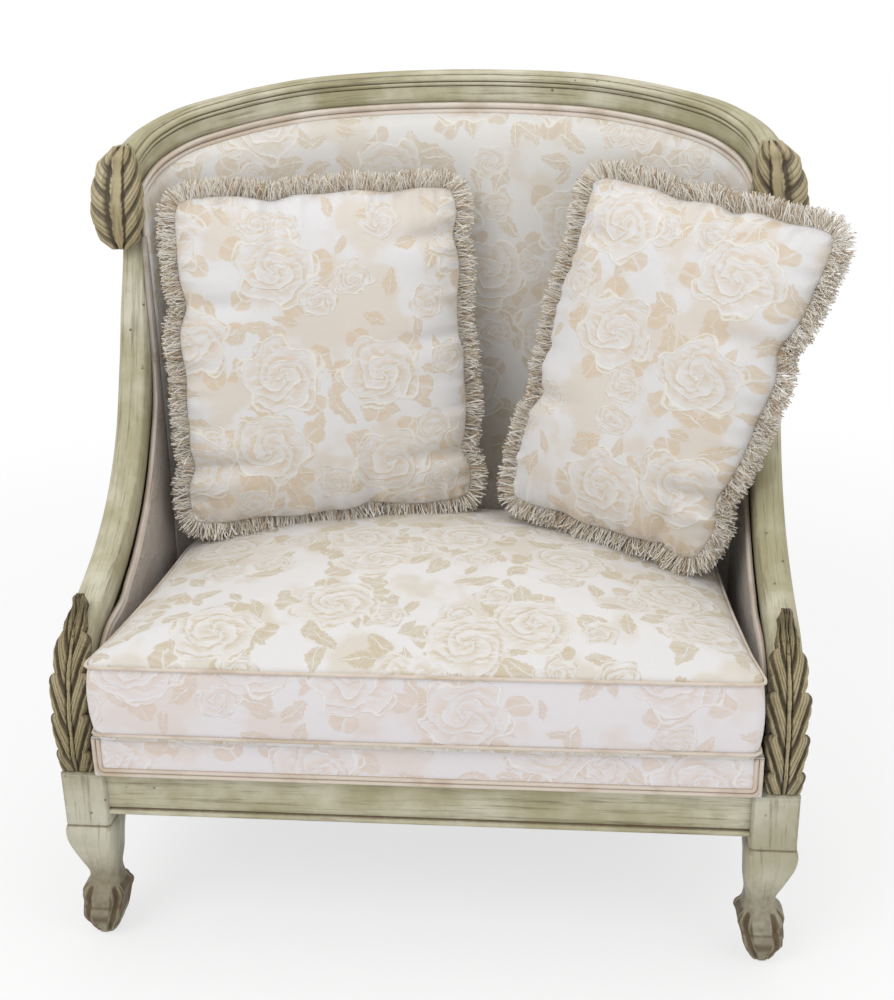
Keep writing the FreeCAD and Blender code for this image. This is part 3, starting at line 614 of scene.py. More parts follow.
def makeCrest():
    flat, groove, bead = railShape["flat"], railShape["groove"], railShape["bead"]
    ring = [(flat, -crestDepth, 0.25), (flat, -crestDepth * 0.7, 0.0), (flat, -0.0165, 0.0),
            (flat, -0.0150, 0.1), (groove, -0.0140, 1.0), (flat, -0.0128, 0.3),
            (bead, -0.0110, 0.0), (0.4 * flat + 0.6 * bead, -0.0092, 0.1),
            (groove, -0.0080, 1.0), (flat, -0.0068, 0.3), (-0.0012, -0.0045, 0.0),
            (0.0002, -0.0018, 0.05), (0.0030, 0.0006, 0.1), (0.0058, 0.0008, 0.85),
            (0.0074, 0.0028, 0.2), (0.0110, 0.0052, 0.0), (0.0150, 0.0070, 0.0),
            (0.0205, 0.0080, 0.0), (0.0265, 0.0072, 0.0), (0.0320, 0.0050, 0.0),
            (0.0370, 0.0018, 0.05), (0.0400, -0.0030, 0.15), (0.0410, -0.0090, 0.1),
            (0.0410, -crestDepth * 0.6, 0.0), (0.0410, -crestDepth, 0.1)]
    piece = sweep("crestRail", crestSections(railShape["crestSteps"], ring), glazeAndShadeOf(ring))
    finishPiece(piece, "frame", railPaint, ["crest_rail"])


makeCrest()


# Front rail: flat face, a dark scribed line and a bead along its foot.
frontRail = {"half": 0.401, "low": 0.185, "face": 0.004, "thick": 0.030}


def makeFrontRail():
    r = frontRail
    y0, z0 = r["face"] - plan["originDepth"], r["low"]
    ring = [(r["thick"], 0.0, 0.0), (0.0015, 0.0, 0.3), (-0.0020, 0.0016, 0.1),
            (-0.0035, 0.0042, 0.0), (-0.0022, 0.0066, 0.1), (0.0006, 0.0078, 0.6),
            (0.0026, 0.0088, 1.0), (0.0016, 0.0100, 0.6), (0.0002, 0.0112, 0.15),
            (0.0, 0.0180, 0.0), (0.0, 0.0400, 0.0), (0.0, 0.0555, 0.15), (0.0, 0.0580, 0.7),
            (r["thick"], 0.0580, 0.0)]
    sections = [[(x, y0 + depth, z0 + rise) for depth, rise, _ in ring]
                for x in np.linspace(-r["half"], r["half"], railShape["frontSteps"])]
    piece = sweep("frontRail", sections, glazeAndShadeOf(ring))
    finishPiece(piece, "frame", railPaint, ["front_rail"])


makeFrontRail()


# Front legs: block, scribed line, knee, ankle and a carved foot.
legShape = {"inside": 0.401, "outside": 0.459, "levels": 150, "around": 120, "lobes": 7,
            "carve": 0.0064, "footTop": 0.082, "scribe": 0.168, "scribeDeep": 0.0016}
legCuts = [  # height, inner side, outer side, front, rear, corner radius
    (0.003, 0.014, -0.021, 0.005, 0.034, 0.009), (0.018, 0.008, -0.016, -0.001, 0.042, 0.012),
    (0.033, 0.002, -0.009, -0.006, 0.048, 0.014), (0.060, -0.003, -0.013, -0.004, 0.046, 0.013),
    (0.080, -0.001, -0.018, 0.000, 0.042, 0.012), (0.096, 0.001, -0.019, 0.002, 0.041, 0.011),
    (0.115, -0.001, -0.011, -0.001, 0.047, 0.010), (0.139, -0.001, 0.000, -0.003, 0.055, 0.009),
    (0.156, -0.002, 0.003, -0.003, 0.059, 0.008), (0.168, 0.000, 0.001, 0.000, 0.058, 0.006),
    (0.180, 0.000, 0.000, 0.000, 0.058, 0.005), (0.243, 0.000, 0.000, 0.000, 0.058, 0.005)]


# Points evenly round a rectangle with round corners, and the way each faces.
def roundedRing(x0, x1, y0, y1, radius, count):
    wide, deep, quarter = x1 - x0 - 2 * radius, y1 - y0 - 2 * radius, math.pi / 2 * radius
    low, high = (x0 + radius, y0 + radius), (x1 - radius, y1 - radius)
    starts = [low, (high[0], low[1]), high, (low[0], high[1])]
    total = 2 * (wide + deep) + 4 * quarter
    ring, normals = [], []
    for step in range(count):
        s = total * step / count
        for side, straight in enumerate((wide, deep, wide, deep)):
            turn = math.pi / 2 * (side - 1)
            along = min(s, straight)
            angle = turn + max(0.0, s - straight) / radius
            s -= straight + quarter
            if s < 0:
                break
        x, y = starts[side]
        nx, ny = math.cos(angle), math.sin(angle)
        ring.append((x - along * math.sin(turn) + radius * nx,
                     y + along * math.cos(turn) + radius * ny))
        normals.append((nx, ny))
    return ring, normals


# Carving of the foot: leaves that wrap it, tips curled at the ankle, hollows between them.
def footRelief(angle, z):
    s = legShape
    if z > s["footTop"]:
        return 0.0, 0.0
    share = (s["footTop"] - z) / s["footTop"]
    phase = (angle * s["lobes"] / (2 * math.pi) + 0.12 * math.sin(share * 5)) % 1
    ridge = math.sin(math.pi * phase) ** 0.6
    flute = abs(math.cos(math.pi * 3 * phase)) ** 0.8
    fade = min(1.0, share * 9) * min(1.0, (1.02 - share) * 6)
    curl = math.exp(-((share - 0.20) / 0.10) ** 2)
    rise = fade * (s["carve"] * (ridge * (0.75 + 0.4 * flute) - 0.55) + 0.0042 * curl * ridge)
    dark = fade * (0.95 * (1 - ridge) ** 0.9 + 0.7 * (1 - flute) ** 1.2 + 0.30)
    dark += 0.8 * math.exp(-((share - 0.40) / 0.035) ** 2) * (1 - ridge * 0.6)
    return rise, min(1.0, dark)


def makeLegs():
    s = legShape
    fine = through(legCuts, 500)
    low, high = legCuts[0][0], legCuts[-1][0]
    rows, glazeAndShade = [], []
    for z in low + (high - low) * np.linspace(0, 1, s["levels"]) ** 1.15:
        inner, outer, front, rear, radius = [float(np.interp(z, fine[:, 0], fine[:, k]))
                                             for k in range(1, 6)]
        scribe = math.exp(-((z - s["scribe"]) / 0.0014) ** 2)
        ankle = 0.52 * min(1.0, max(0.0, (0.150 - z) / 0.06))
        joint = 0.30 * math.exp(-((z - 0.240) / 0.004) ** 2)
        ring, normals = roundedRing(s["inside"] + inner, s["outside"] + outer,
                                    front - plan["originDepth"], rear - plan["originDepth"],
                                    radius, s["around"])
        row, shades = [], []
        for (x, y), (nx, ny) in zip(ring, normals):
            rise, dark = footRelief(math.atan2(nx, -ny) + math.pi / s["lobes"], z)
            rise -= s["scribeDeep"] * scribe
            row.append((x + nx * rise, y + ny * rise, z))
            edge = 0.34 if min(abs(nx), abs(ny)) > 0.25 and z > 0.16 else 0.0
            shades.append(max(dark, 0.9 * scribe, edge, ankle, joint))
        rows.append(row)
        glazeAndShade.append(shades)
    sweepPair("frontLeg", rows, glazeAndShade, legPaint, "front_leg_")


makeLegs()
print("rails and legs made")


# Acanthus leaves. across runs from -1 to 1 over the leaf, along from its foot to its tip.
# A leaf is flutes that sweep out of a double rib, with lobes along its edge.
def leafRelief(across, along, shape):
    a, rib = abs(across), shape["ribWidth"]
    phase = ((along - shape["sweepBack"] * a ** 1.15) * shape["lobes"]) % 1
    lobe = math.sin(math.pi * phase) ** 0.6
    flute = abs(math.cos(math.pi * 4 * phase)) ** 0.7
    dome = (1 - a ** 9) * (0.50 + 0.50 * math.sin(math.pi * min(1.0, 0.12 + a * 0.95)) ** 0.8)
    core = math.exp(-(a / rib) ** 4)
    side = math.exp(-((a - rib * 1.45) / (rib * 0.38)) ** 2)
    curl = math.exp(-((a - 0.86) / 0.10) ** 2 - ((phase - 0.62) / 0.2) ** 2)
    height = dome * (0.38 + 0.44 * lobe + 0.22 * flute * lobe) * (1 - 0.5 * side) + 0.34 * curl
    height *= 1 - core
    height += core * (0.78 - 0.25 * along) * (0.8 + 0.2 * min(1, a / rib * 2))
    dark = 0.95 * (1 - lobe) ** 1.7 + 0.62 * (1 - flute) ** 1.5 + 0.8 * side + 0.4 * a ** 10
    dark = dark * (1 - 0.6 * curl) + 0.10
    return height, min(1.0, dark * (1 - 0.9 * core))


# How far a lobe stands out at the leaf's edge: blunt saw teeth that point towards the tip.
def lobeReach(along, shape):
    phase = ((along - shape["sweepBack"]) * shape["lobes"]) % 1
    tooth = phase ** 0.55 * (1 - phase ** 8) ** 0.5
    return 0.68 + 0.37 * tooth + 0.05 * abs(math.sin(math.pi * 3 * phase))


# The points of a leaf, its cloth plane and its glaze. spot gives a point and its darkness.
def leafSurface(shape, spot):
    rows, columns = shape["rows"], shape["columns"]
    verts, glazeAndShade, uvPoints = [], [], []
    for i, along in enumerate(np.linspace(0, 1, rows)):
        for j, across in enumerate(np.linspace(-1, 1, columns)):
            onEdge = j in (0, columns - 1) or i in (0, rows - 1)
            point, dark = spot(float(across), float(along), onEdge)
            verts.append(point)
            glazeAndShade.append(dark)
            uvPoints.append((along * shape["long"], across * 0.03))
    return verts, uvPoints, glazeAndShade


def thickenLeaf(verts, rows, columns, thick):
    points = np.array(verts).reshape(rows, columns, 3)
    way = np.cross(np.gradient(points, axis=0), np.gradient(points, axis=1))
    way /= np.maximum(np.linalg.norm(way, axis=2, keepdims=True), 1e-9)
    return [tuple(v) for v in (points + way * thick).reshape(-1, 3)]


postLeaf = {"rows": 260, "columns": 68, "lobes": 4.6, "sweepBack": 0.36, "ribWidth": 0.085,
            "relief": 0.0125, "middle": 0.0195, "share": 0.262, "long": 0.25, "thick": 0.0016,
            "width": [(0.0, 0.0215), (0.10, 0.0245), (0.30, 0.0265), (0.52, 0.0275),
                      (0.72, 0.0240), (0.84, 0.0165), (0.91, 0.0100), (0.96, 0.0105),
                      (1.0, 0.0055)]}


def makePostLeaves():
    s = postLeaf
    fine = through(lines["arm"], 500)
    width = np.array(s["width"])

    def spot(across, along, onEdge):
        height, dark = leafRelief(across, along, s)
        reach = 1 + (lobeReach(along, s) - 1) * across ** 2
        knob = math.exp(-((along - 0.955) / 0.030) ** 2) * (1 - across ** 2)
        lift = height * s["relief"] * min(1.0, 0.35 + along * 6) + 0.0065 * knob
        half = float(np.interp(along, width[:, 0], width[:, 1]))
        index = int(round(along * s["share"] * (len(fine) - 1)))
        clear = 0.0125 * (max(0.0, along - 0.78) / 0.22) ** 2
        droop = 0.004 * max(0.0, along - 0.93) / 0.07
        run, z = sidePlace(fine, index, -((-0.001 if onEdge else lift) + clear))
        return rim(run, s["middle"] + across * reach * half, z - droop), dark * (1 - 0.8 * knob)

    verts, uvPoints, glazeAndShade = leafSurface(s, spot)
    verts += thickenLeaf(verts, s["rows"], s["columns"], s["thick"])
    for side, points in bothSides(verts):
        piece = addShell("postLeaf" + side.title(), points, s["columns"], uvPoints,
                         {"glazeAndShade": glazeAndShade + [1.0] * len(glazeAndShade)})
        finishPiece(piece, "frame", leafPaint, ["post_leaf_" + side])


makePostLeaves()


# Shoulder leaf: it wraps the corner of the arm from the inner edge round to the outer side.
shoulderLeaf = {"rows": 170, "columns": 110, "lobes": 4.2, "sweepBack": 0.50, "ribWidth": 0.10,
                "relief": 0.0120, "back": 0.397, "ribAt": -0.30, "long": 0.14, "low": 0.838,
                "height": 0.139,
                "levels": [(0.838, 0.434, 0.454), (0.850, 0.422, 0.467), (0.874, 0.414, 0.475),
                           (0.904, 0.412, 0.475), (0.932, 0.412, 0.468), (0.955, 0.414, 0.459),
                           (0.976, 0.420, 0.438)]}


def makeShoulderLeaves():
    s = shoulderLeaf
    levels = np.array(s["levels"])

    def spot(across, along, onEdge):
        reach = 1 + s["ribAt"] if across < s["ribAt"] else 1 - s["ribAt"]
        local = (across - s["ribAt"]) / reach
        height, dark = leafRelief(local, along, s)
        scroll = math.exp(-((along - 0.90) / 0.07) ** 2 - (local / 0.30) ** 2)
        lift = height * s["relief"] - 0.014 * (1 - lobeReach(along, s)) * abs(local) ** 3
        lift = -0.002 if onEdge else lift + 0.006 * scroll
        z = s["low"] + s["height"] * along
        inner, outer = [float(np.interp(z, levels[:, 0], levels[:, k])) for k in (1, 2)]
        swell = 0.0150 * math.sin(math.pi * (0.02 + 0.96 * along)) ** 0.45
        half = (outer - inner) / 2 * (0.55 + 0.45 * (1 - abs(2 * along - 1) ** 5) ** 0.5)
        turn = math.pi * (1 - (across + 1) / 2 * 1.32)
        x = (inner + outer) / 2 + (half + lift * 0.8) * math.cos(turn if turn >= 0 else turn * 0.6)
        y = s["back"] - ((swell + lift) * math.sin(turn) if turn >= 0 else 0.030 * turn)
        return (x, y - plan["originDepth"], z), dark * (1 - 0.7 * scroll)

    verts, uvPoints, glazeAndShade = leafSurface(s, spot)
    rows, columns = s["rows"], s["columns"]
    last = (rows - 1) * columns
    faces = gridFaces(rows, columns) + [list(range(columns)), list(range(last, last + columns))]
    faces += [(i, i + columns, i + 2 * columns - 1, i + columns - 1)
              for i in range(0, last, columns)]
    for side, points in bothSides(verts):
        piece = addPiece("shoulderLeaf" + side.title(), points, faces, loopUv(faces, uvPoints),
                         {"glazeAndShade": glazeAndShade})
        finishPiece(piece, "frame", leafPaint, ["shoulder_leaf_" + side])


makeShoulderLeaves()
print("carved leaves made")


# Double welts: two cords side by side in one strip of cloth, which lies off the rail's face.
welt = {"width": 0.017, "rise": 0.0042, "strip": 0.0015, "armOff": 0.0012, "backOff": 0.0017,
        "armSteps": 110, "backSteps": 160, "overlap": 0.003, "tuck": 0.002}


# A welt point's last value is painted shade: 0.9 at each cord's edges, in the creases, and 0.5
# along its back.
def weltRing(width, rise, strip, floor, steps=9):
    points = []
    for cord in (0, 1):
        for t in np.linspace(0, 1, steps):
            height = strip + rise * math.sin(math.pi * t) ** 0.6
            points.append((width * (cord + t) / 2, height, 0.9 if t in (0.0, 1.0) else 0.0))
    return points + [(width, floor, 0.5), (0, floor, 0.5)]


coverRing = weltRing(welt["width"], welt["rise"], welt["strip"], 0.0)
armWelt = [(-welt["armOff"] - height, wide, glazeAndShade) for wide, height, glazeAndShade in coverRing]
sweepPair("innerWelt", sideSections("cover", welt["armSteps"], armWelt), glazeAndShadeOf(armWelt),
          weltCloth, "inner_welt_")
backWelt = [(-welt["backOff"] - height, welt["overlap"] - crestDepth - wide, glazeAndShade)
            for wide, height, glazeAndShade in coverRing]
piece = sweep("innerWeltBack", crestSections(welt["backSteps"], backWelt), glazeAndShadeOf(backWelt))
finishPiece(piece, "frame", weltCloth, ["inner_welt_back"])


# Panels of stretched cloth. top gives the height at a run; front gives how far the face
# stands off the rails' inner plane, from the run, the share of the height and the rest of it.
def panelPoints(shape, top, front):
    faces, backs, uvPoints = [], [], []
    for t in np.linspace(0, 1, shape["rows"]):
        for run in np.linspace(shape["start"], shape["end"], shape["steps"]):
            z = shape["low"] + (top(run) - shape["low"]) * t
            faces.append(rim(run, front(run, t, top(run) - z), z))
            backs.append(rim(run, shape["behind"], z))
            uvPoints.append((run, z))
    return faces + backs, uvPoints


def arch(t):
    return math.sin(math.pi * t) ** 0.5


# Inside arms: cloth over a thin pad, from the deck up to the welt, in a darker copy of the rose
# cloth that paints the shade they lie in.
insideArm = {"start": 0.058, "end": 0.3982, "steps": 70, "rows": 30, "low": 0.300,
             "behind": -0.0006, "face": 0.0061, "puff": 0.0032, "highFrom": 0.39, "high": 0.855}


def makeInsideArms():
    s = insideArm
    fine = through(lines["cover"], 400)

    def top(run):
        if run > s["highFrom"]:
            return s["high"]
        return float(np.interp(run, fine[:, 0], fine[:, 1])) - welt["width"] + welt["tuck"]

    def front(run, t, rest):
        return -s["face"] - s["puff"] * arch(t)

    both, uvPoints = panelPoints(s, top, front)
    for side, points in bothSides(both):
        piece = addShell("insideArm" + side.title(), points, s["steps"], uvPoints)
        # The darker shade cloth is painted shade on the inside arms.
        finishPiece(piece, "frame", paintedShadeCloth, ["inside_arm_cover_" + side,
                    "arm_pad_" + side, "arm_lining_" + side])


makeInsideArms()


# Inside back: a full pad that fades into the arms and rolls over under the welt.
insideBack = {"start": 0.3988, "end": 2 * halfRun - 0.3988, "steps": 150, "rows": 40,
              "low": 0.300, "behind": -0.0015, "face": 0.0033, "pad": 0.028, "thin": 0.005,
              "ramp": 0.19, "roll": 0.05}


def makeInsideBack():
    s = insideBack

    def top(run):
        return crestHeight(run) - crestDepth + welt["overlap"] - welt["width"] + welt["tuck"]

    def front(run, t, rest):
        near = min(run, 2 * halfRun - run)
        share = min(max((near - lines["crest"][0][0]) / s["ramp"], 0), 1)
        pad = s["thin"] + (s["pad"] - s["thin"]) * share ** 2 * (3 - 2 * share)
        return -s["face"] - pad * (0.25 + 0.75 * min(1.0, max(0.0, rest / s["roll"])) ** 0.5)

    points, uvPoints = panelPoints(s, top, front)
    piece = addShell("insideBack", points, s["steps"], uvPoints)
    finishPiece(piece, "frame", backCloth, ["inside_back_cover", "back_pad", "back_lining"])


makeInsideBack()


# Deck: its front band with a double welt round three sides.
deck = {"half": 0.411, "front": -0.004, "low": 0.246, "top": 0.2997, "thick": 0.0012,
        "puff": 0.0014, "rows": 14, "columns": 90, "corner": 0.014, "weltWidth": 0.012,
        "weltRise": 0.0034, "weltOff": 0.0008}


def makeDeckBand():
    s = deck
    face = s["front"] - plan["originDepth"]
    front, back, uvPoints = [], [], []
    for t in np.linspace(0, 1, s["rows"]):
        z = s["low"] + (s["top"] - s["low"]) * t
        for x in np.linspace(-s["half"], s["half"], s["columns"]):
            front.append((x, face - s["puff"] * math.sin(math.pi * t), z))
            back.append((x, face + s["thick"], z))
            uvPoints.append((x, z))
    piece = addShell("deckBand", front + back, s["columns"], uvPoints)
    finishPiece(piece, "frame", boxingCloth, ["deck_front_band"])


makeDeckBand()


# The welt's path: down one side, round the corner, and the same mirrored after the foot.
def makeDeckWelt():
    s = deck
    r, half, low, top = s["corner"], s["half"], s["low"], s["top"] - 0.001
    ring = weltRing(s["weltWidth"], s["weltRise"], 0.0, -s["weltOff"])
    side = [((half, z), (1, 0)) for z in np.linspace(top, low + r, 8)]
    side += [((half - r + r * math.cos(a), low + r - r * math.sin(a)),
              (math.cos(a), -math.sin(a))) for a in np.linspace(0.12, math.pi / 2 - 0.12, 7)]
    path = [((-x, z), (-ox, oz)) for (x, z), (ox, oz) in side]
    path += [((x, low), (0, -1)) for x in np.linspace(-half + r, half - r, 90)]
    path += side[::-1]
    out = s["front"] - plan["originDepth"] - s["weltOff"]
    sections = [[(x - ox * wide, out - height, z - oz * wide) for wide, height, _ in ring]
                for (x, z), (ox, oz) in path]
    piece = sweep("deckWelt", sections, glazeAndShadeOf(ring))
    finishPiece(piece, "frame", pipingCloth, ["deck_band_welt"])


makeDeckWelt()


# Outside arms and back: stretched cloth under the rails.
outsideArm = {"start": 0.060, "end": 0.5995, "steps": 110, "rows": 34, "low": 0.246,
              "behind": 0.033, "thick": 0.0012, "puff": 0.0018, "crestFrom": 0.4465,
              "armGap": 0.0006, "crestGap": 0.003}
outsideBack = {**outsideArm, "start": 0.6005, "end": 2 * halfRun - 0.6005, "crestGap": 0.0015}


def outsideFront(run, t, rest):
    return outsideArm["behind"] + outsideArm["thick"] + outsideArm["puff"] * arch(t)


def makeOutside():
    s = outsideArm
    fine = through(lines["arm"], 200)
    under = np.array([sidePlace(fine, i, armDepth + s["armGap"]) for i in range(len(fine))])
    under = under[np.argsort(under[:, 0])]

    def armTop(run):
        high = crestHeight(max(run, s["crestFrom"])) - crestDepth - s["crestGap"]
        if run < s["crestFrom"]:
            high = min(float(np.interp(run, under[:, 0], under[:, 1])), high)
        return high

    def backTop(run):
        return crestHeight(run) - crestDepth - outsideBack["crestGap"]

    both, uvPoints = panelPoints(outsideArm, armTop, outsideFront)
    for side, points in bothSides(both):
        piece = addShell("outsideArm" + side.title(), points, s["steps"], uvPoints)
        finishPiece(piece, "frame", backCloth, ["outside_arm_cover_" + side])
    points, uvPoints = panelPoints(outsideBack, backTop, outsideFront)
    piece = addShell("outsideBack", points, s["steps"], uvPoints)
    finishPiece(piece, "frame", backCloth, ["outside_back_cover"])


makeOutside()
print("fixed upholstery made")


# Cords on a path, made by geometry nodes: a round section along a line of points.
def cordTree():
    tree, take, give = newGroup("cordOnPath", {
        "Geometry": "Geometry", "Radius": "Float", "Material": "Material"},
        {"Geometry": "Geometry"}, "GeometryNodeTree")
    curve = node(tree, "GeometryNodeMeshToCurve", {0: take["Geometry"]}, 0)
    circle = node(tree, "GeometryNodeCurvePrimitiveCircle",
                  {"Resolution": 10, "Radius": take["Radius"]}, 0)
    tube = node(tree, "GeometryNodeCurveToMesh", {"Curve": curve, "Profile Curve": circle}, 0)
    smooth = node(tree, "GeometryNodeSetShadeSmooth", {0: tube}, 0)
    plug(tree, give[0], node(tree, "GeometryNodeSetMaterial", {
        "Geometry": smooth, "Material": take["Material"]}, 0))
    return tree


cordNodes = cordTree()


def applyTree(source, tree, values):
    modifier = source.modifiers.new("build", "NODES")
    modifier.node_group = tree
    for item in tree.interface.items_tree:
        if item.item_type == "SOCKET" and item.in_out == "INPUT" and item.name in values:
            modifier[item.identifier] = values[item.name]
    bpy.context.view_layer.update()
    graph = bpy.context.evaluated_depsgraph_get()
    mesh = bpy.data.meshes.new_from_object(source.evaluated_get(graph))
    made = bpy.data.objects.new(source.name.replace("Path", ""), mesh)
    bpy.context.scene.collection.objects.link(made)
    bpy.data.objects.remove(source)
    return made


# A closed line of points, with directions kept at each.
def pathObject(name, points, marks=None):
    mesh = bpy.data.meshes.new(name)
    count = len(points)
    mesh.from_pydata([tuple(p) for p in points], [(i, (i + 1) % count) for i in range(count)], [])
    for key, values in (marks or {}).items():
        attribute = mesh.attributes.new(key, "FLOAT_VECTOR", "POINT")
        attribute.data.foreach_set("vector", np.array(values, np.float32).reshape(-1))
    path = bpy.data.objects.new(name, mesh)
    bpy.context.scene.collection.objects.link(path)
    return path


# The seat cushion: boxed, crowned, with small ears in front of the arm posts.
cushion = {"front": -0.015, "half": 0.397, "ear": 0.405, "earDepth": 0.062, "low": 0.300,
           "boxing": 0.106, "crown": 0.042, "backGap": 0.039, "middle": 0.262, "around": 300,
           "turn": 0.012, "bottomSeam": 0.0105, "pipe": 0.0022, "pipeOut": 0.0012, "rows": 46,
           "seamDrop": 0.0035, "swell": 0.0042, "pucker": 0.0009, "puckerBefore": -0.2,
           "clothShift": 0.35}


# The outline drawn in by inset, then shrunk about the middle by share.
def cushionOutline(inset, share):
    s = cushion
    ear, half, front, turn = s["ear"] - inset, s["half"] - inset, s["front"] + inset, s["turn"]
    start = s["front"] + s["earDepth"]
    endX, endY = rim(plan["armStraight"], -s["backGap"] - inset, 0)[0], plan["armStraight"]
    points = [(x, front - 0.002 * (1 - (x / ear) ** 2)) for x in np.linspace(0, ear - turn, 40)]
    points += [(ear - turn + turn * math.cos(a), front + turn + turn * math.sin(a))
               for a in np.linspace(-math.pi / 2, 0, 8)]
    points += [(half + (endX - half) * t - 0.003 * math.sin(math.pi * t),
                start + (endY - start) * t) for t in np.linspace(0, 1, 40)[1:]]
    for run in np.linspace(plan["armStraight"], halfRun, 60)[1:]:
        x, y, _ = rim(run, -s["backGap"] - inset, 0)
        points.append((x, y + plan["originDepth"]))
    p = np.array(points)
    p = np.vstack([p, (p * [-1, 1])[::-1][1:-1], p[:1]])
    even, p = evenly(p, s["around"], endpoint=False)
    x, y = p.T
    return x * share, s["middle"] + (y - s["middle"]) * share - plan["originDepth"], even


def softNoise(x, y, scale, seed):
    rng = np.random.default_rng(seed)
    total = 0
    for octave in range(4):
        for _ in range(5):
            angle = rng.uniform(0, 2 * math.pi)
            phase = rng.uniform(0, 2 * math.pi)
            k = scale * 2 ** octave * rng.uniform(0.7, 1.3)
            wave = np.sin(k * (x * math.cos(angle) + y * math.sin(angle)) + phase)
            total = total + wave / 2 ** octave
    return total / 6


# Levels of the cushion from its underside to the crown: inset, share, rise.
def cushionLevels():
    s = cushion
    seam, boxing = s["bottomSeam"], s["boxing"]
    levels = [(0.006, 1, 0.0), (0.0035, 1, 0.0015), (0.0015, 1, 0.0045), (0.0010, 1, seam)]
    levels += [(0.0010 - s["swell"] * math.sin(math.pi * t) ** 0.7, 1,
                seam + (boxing - 0.006 - seam) * t) for t in np.linspace(0, 1, 12)[1:-1]]
    levels += [(0.0010, 1, boxing - 0.006), (0.0015, 1, boxing - 0.002),
               (0.0045, 1, boxing + 0.002)]
    return levels + [(0.0045, share, boxing + 0.002 + s["crown"] * (1 - share ** 2.6) ** 0.85)
                     for share in np.linspace(0.985, 0.02, s["rows"])]


def makeCushion():
    s = cushion
    around = s["around"]
    levels = cushionLevels()
    verts, zone = [], []
    for inset, share, rise in levels:
        x, y, along = cushionOutline(inset, share)
        z = np.full_like(x, s["low"] + rise)
        if share < 1:
            fade = min(1.0, (1 - share) * 7)
            z = z + fade * (0.0034 * softNoise(x, y, 14, 3) + 0.0010 * softNoise(x, y, 60, 4))
        boxed = 0.012 < rise < s["boxing"] - 0.008
        if boxed and share == 1:
            y = y - s["pucker"] * softNoise(along, rise * 3, 90, 5) * (y < s["puckerBefore"])
        zone += [boxed] * around
        verts += list(zip(x, y, z))
    faces = gridFaces(len(levels), around, loopAcross=True)
    along = np.append(cushionOutline(0, 1)[2], 0)
    along[-1] = along[-2] + along[1]
    brim = s["low"] + s["boxing"] - 0.004
    uv, kinds = [], []
    for face in faces:
        kind = int(sum(zone[i] for i in face) >= 2 and max(verts[i][2] for i in face) < brim)
        kinds.append(kind)
        closing = any(i % around == around - 1 for i in face)
        for i in face:
            x, y, z = verts[i]
            ring = around if closing and i % around == 0 else i % around
            uv.append((along[ring], z + s["clothShift"]) if kind else (x, y))
    last = (len(levels) - 1) * around
    for cap in (range(around), range(last, last + around)):
        faces.append(list(cap))
        uv += [verts[i][:2] for i in cap]
    piece = addPiece("seatCushion", verts, faces, uv)
    finishPiece(piece, "seat_cushion", seatCloth, ["cushion_cover", "cushion_core"])
    piece.data.materials.append(boxingCloth)
    for face, kind in zip(piece.data.polygons, kinds + [0, 0]):
        face.material_index = kind


makeCushion()
for end, rise in (("Top", cushion["boxing"] - cushion["seamDrop"]),
                  ("Bottom", cushion["bottomSeam"])):
    x, y, _ = cushionOutline(-cushion["pipeOut"], 1)
    path = pathObject("piping" + end + "Path",
                      list(zip(x, y, np.full_like(x, cushion["low"] + rise))))
    cord = applyTree(path, cordNodes, {"Radius": cushion["pipe"], "Material": pipingCloth})
    finishPiece(cord, "seat_cushion", pipingCloth, ["cushion_piping_" + end.lower()])
print("cushion made")


# Pillows. Each lies where its solid lies: corners in its own plane, then a turn and a place.
# A tuck is a side, a place along it and a depth.
pillows = {
    "left": {"centre": (-0.175, 0.435, 0.6809), "yaw": -14.3, "lean": -7.0, "roll": -1.2,
             "corners": [(-0.196, 0.231), (0.205, 0.227), (0.205, -0.233), (-0.216, -0.237)],
             "seed": 11, "tucks": [("left", -0.62, 0.011), ("left", 0.36, 0.006),
                                   ("right", -0.66, 0.009), ("right", 0.70, 0.007),
                                   ("right", 0.08, 0.005), ("foot", 0.25, 0.005),
                                   ("head", -0.30, 0.004)]},
    "right": {"centre": (0.282, 0.366, 0.677), "yaw": 30.0, "lean": -14.5, "roll": 7.6,
              "corners": [(-0.160, 0.240), (0.206, 0.233), (0.150, -0.228), (-0.165, -0.236)],
              "seed": 23, "tucks": [("right", 0.30, 0.007), ("right", -0.62, 0.010),
                                    ("left", -0.30, 0.006), ("left", 0.66, 0.005),
                                    ("foot", 0.62, 0.008), ("head", 0.20, 0.005)]},
}
pillowShape = {"half": 0.066, "draw": 0.007, "corner": 0.010, "grid": 150, "crowd": 0.94,
               "wave": 0.0026, "headWave": 0.0024, "crease": 0.0044, "weld": 1e-5}
tuckWays = {"left": (-1, 0), "right": (1, 0), "foot": (0, -1), "head": (0, 1)}


def pillowTurn(lie):
    turn = (Matrix.Rotation(math.radians(-lie["yaw"]), 4, "Z")
            @ Matrix.Rotation(math.radians(lie["lean"]), 4, "X")
            @ Matrix.Rotation(math.radians(lie["roll"]), 4, "Y"))
    x, depth, z = lie["centre"]
    return np.array(Matrix.Translation((x, depth - plan["originDepth"], z)) @ turn)


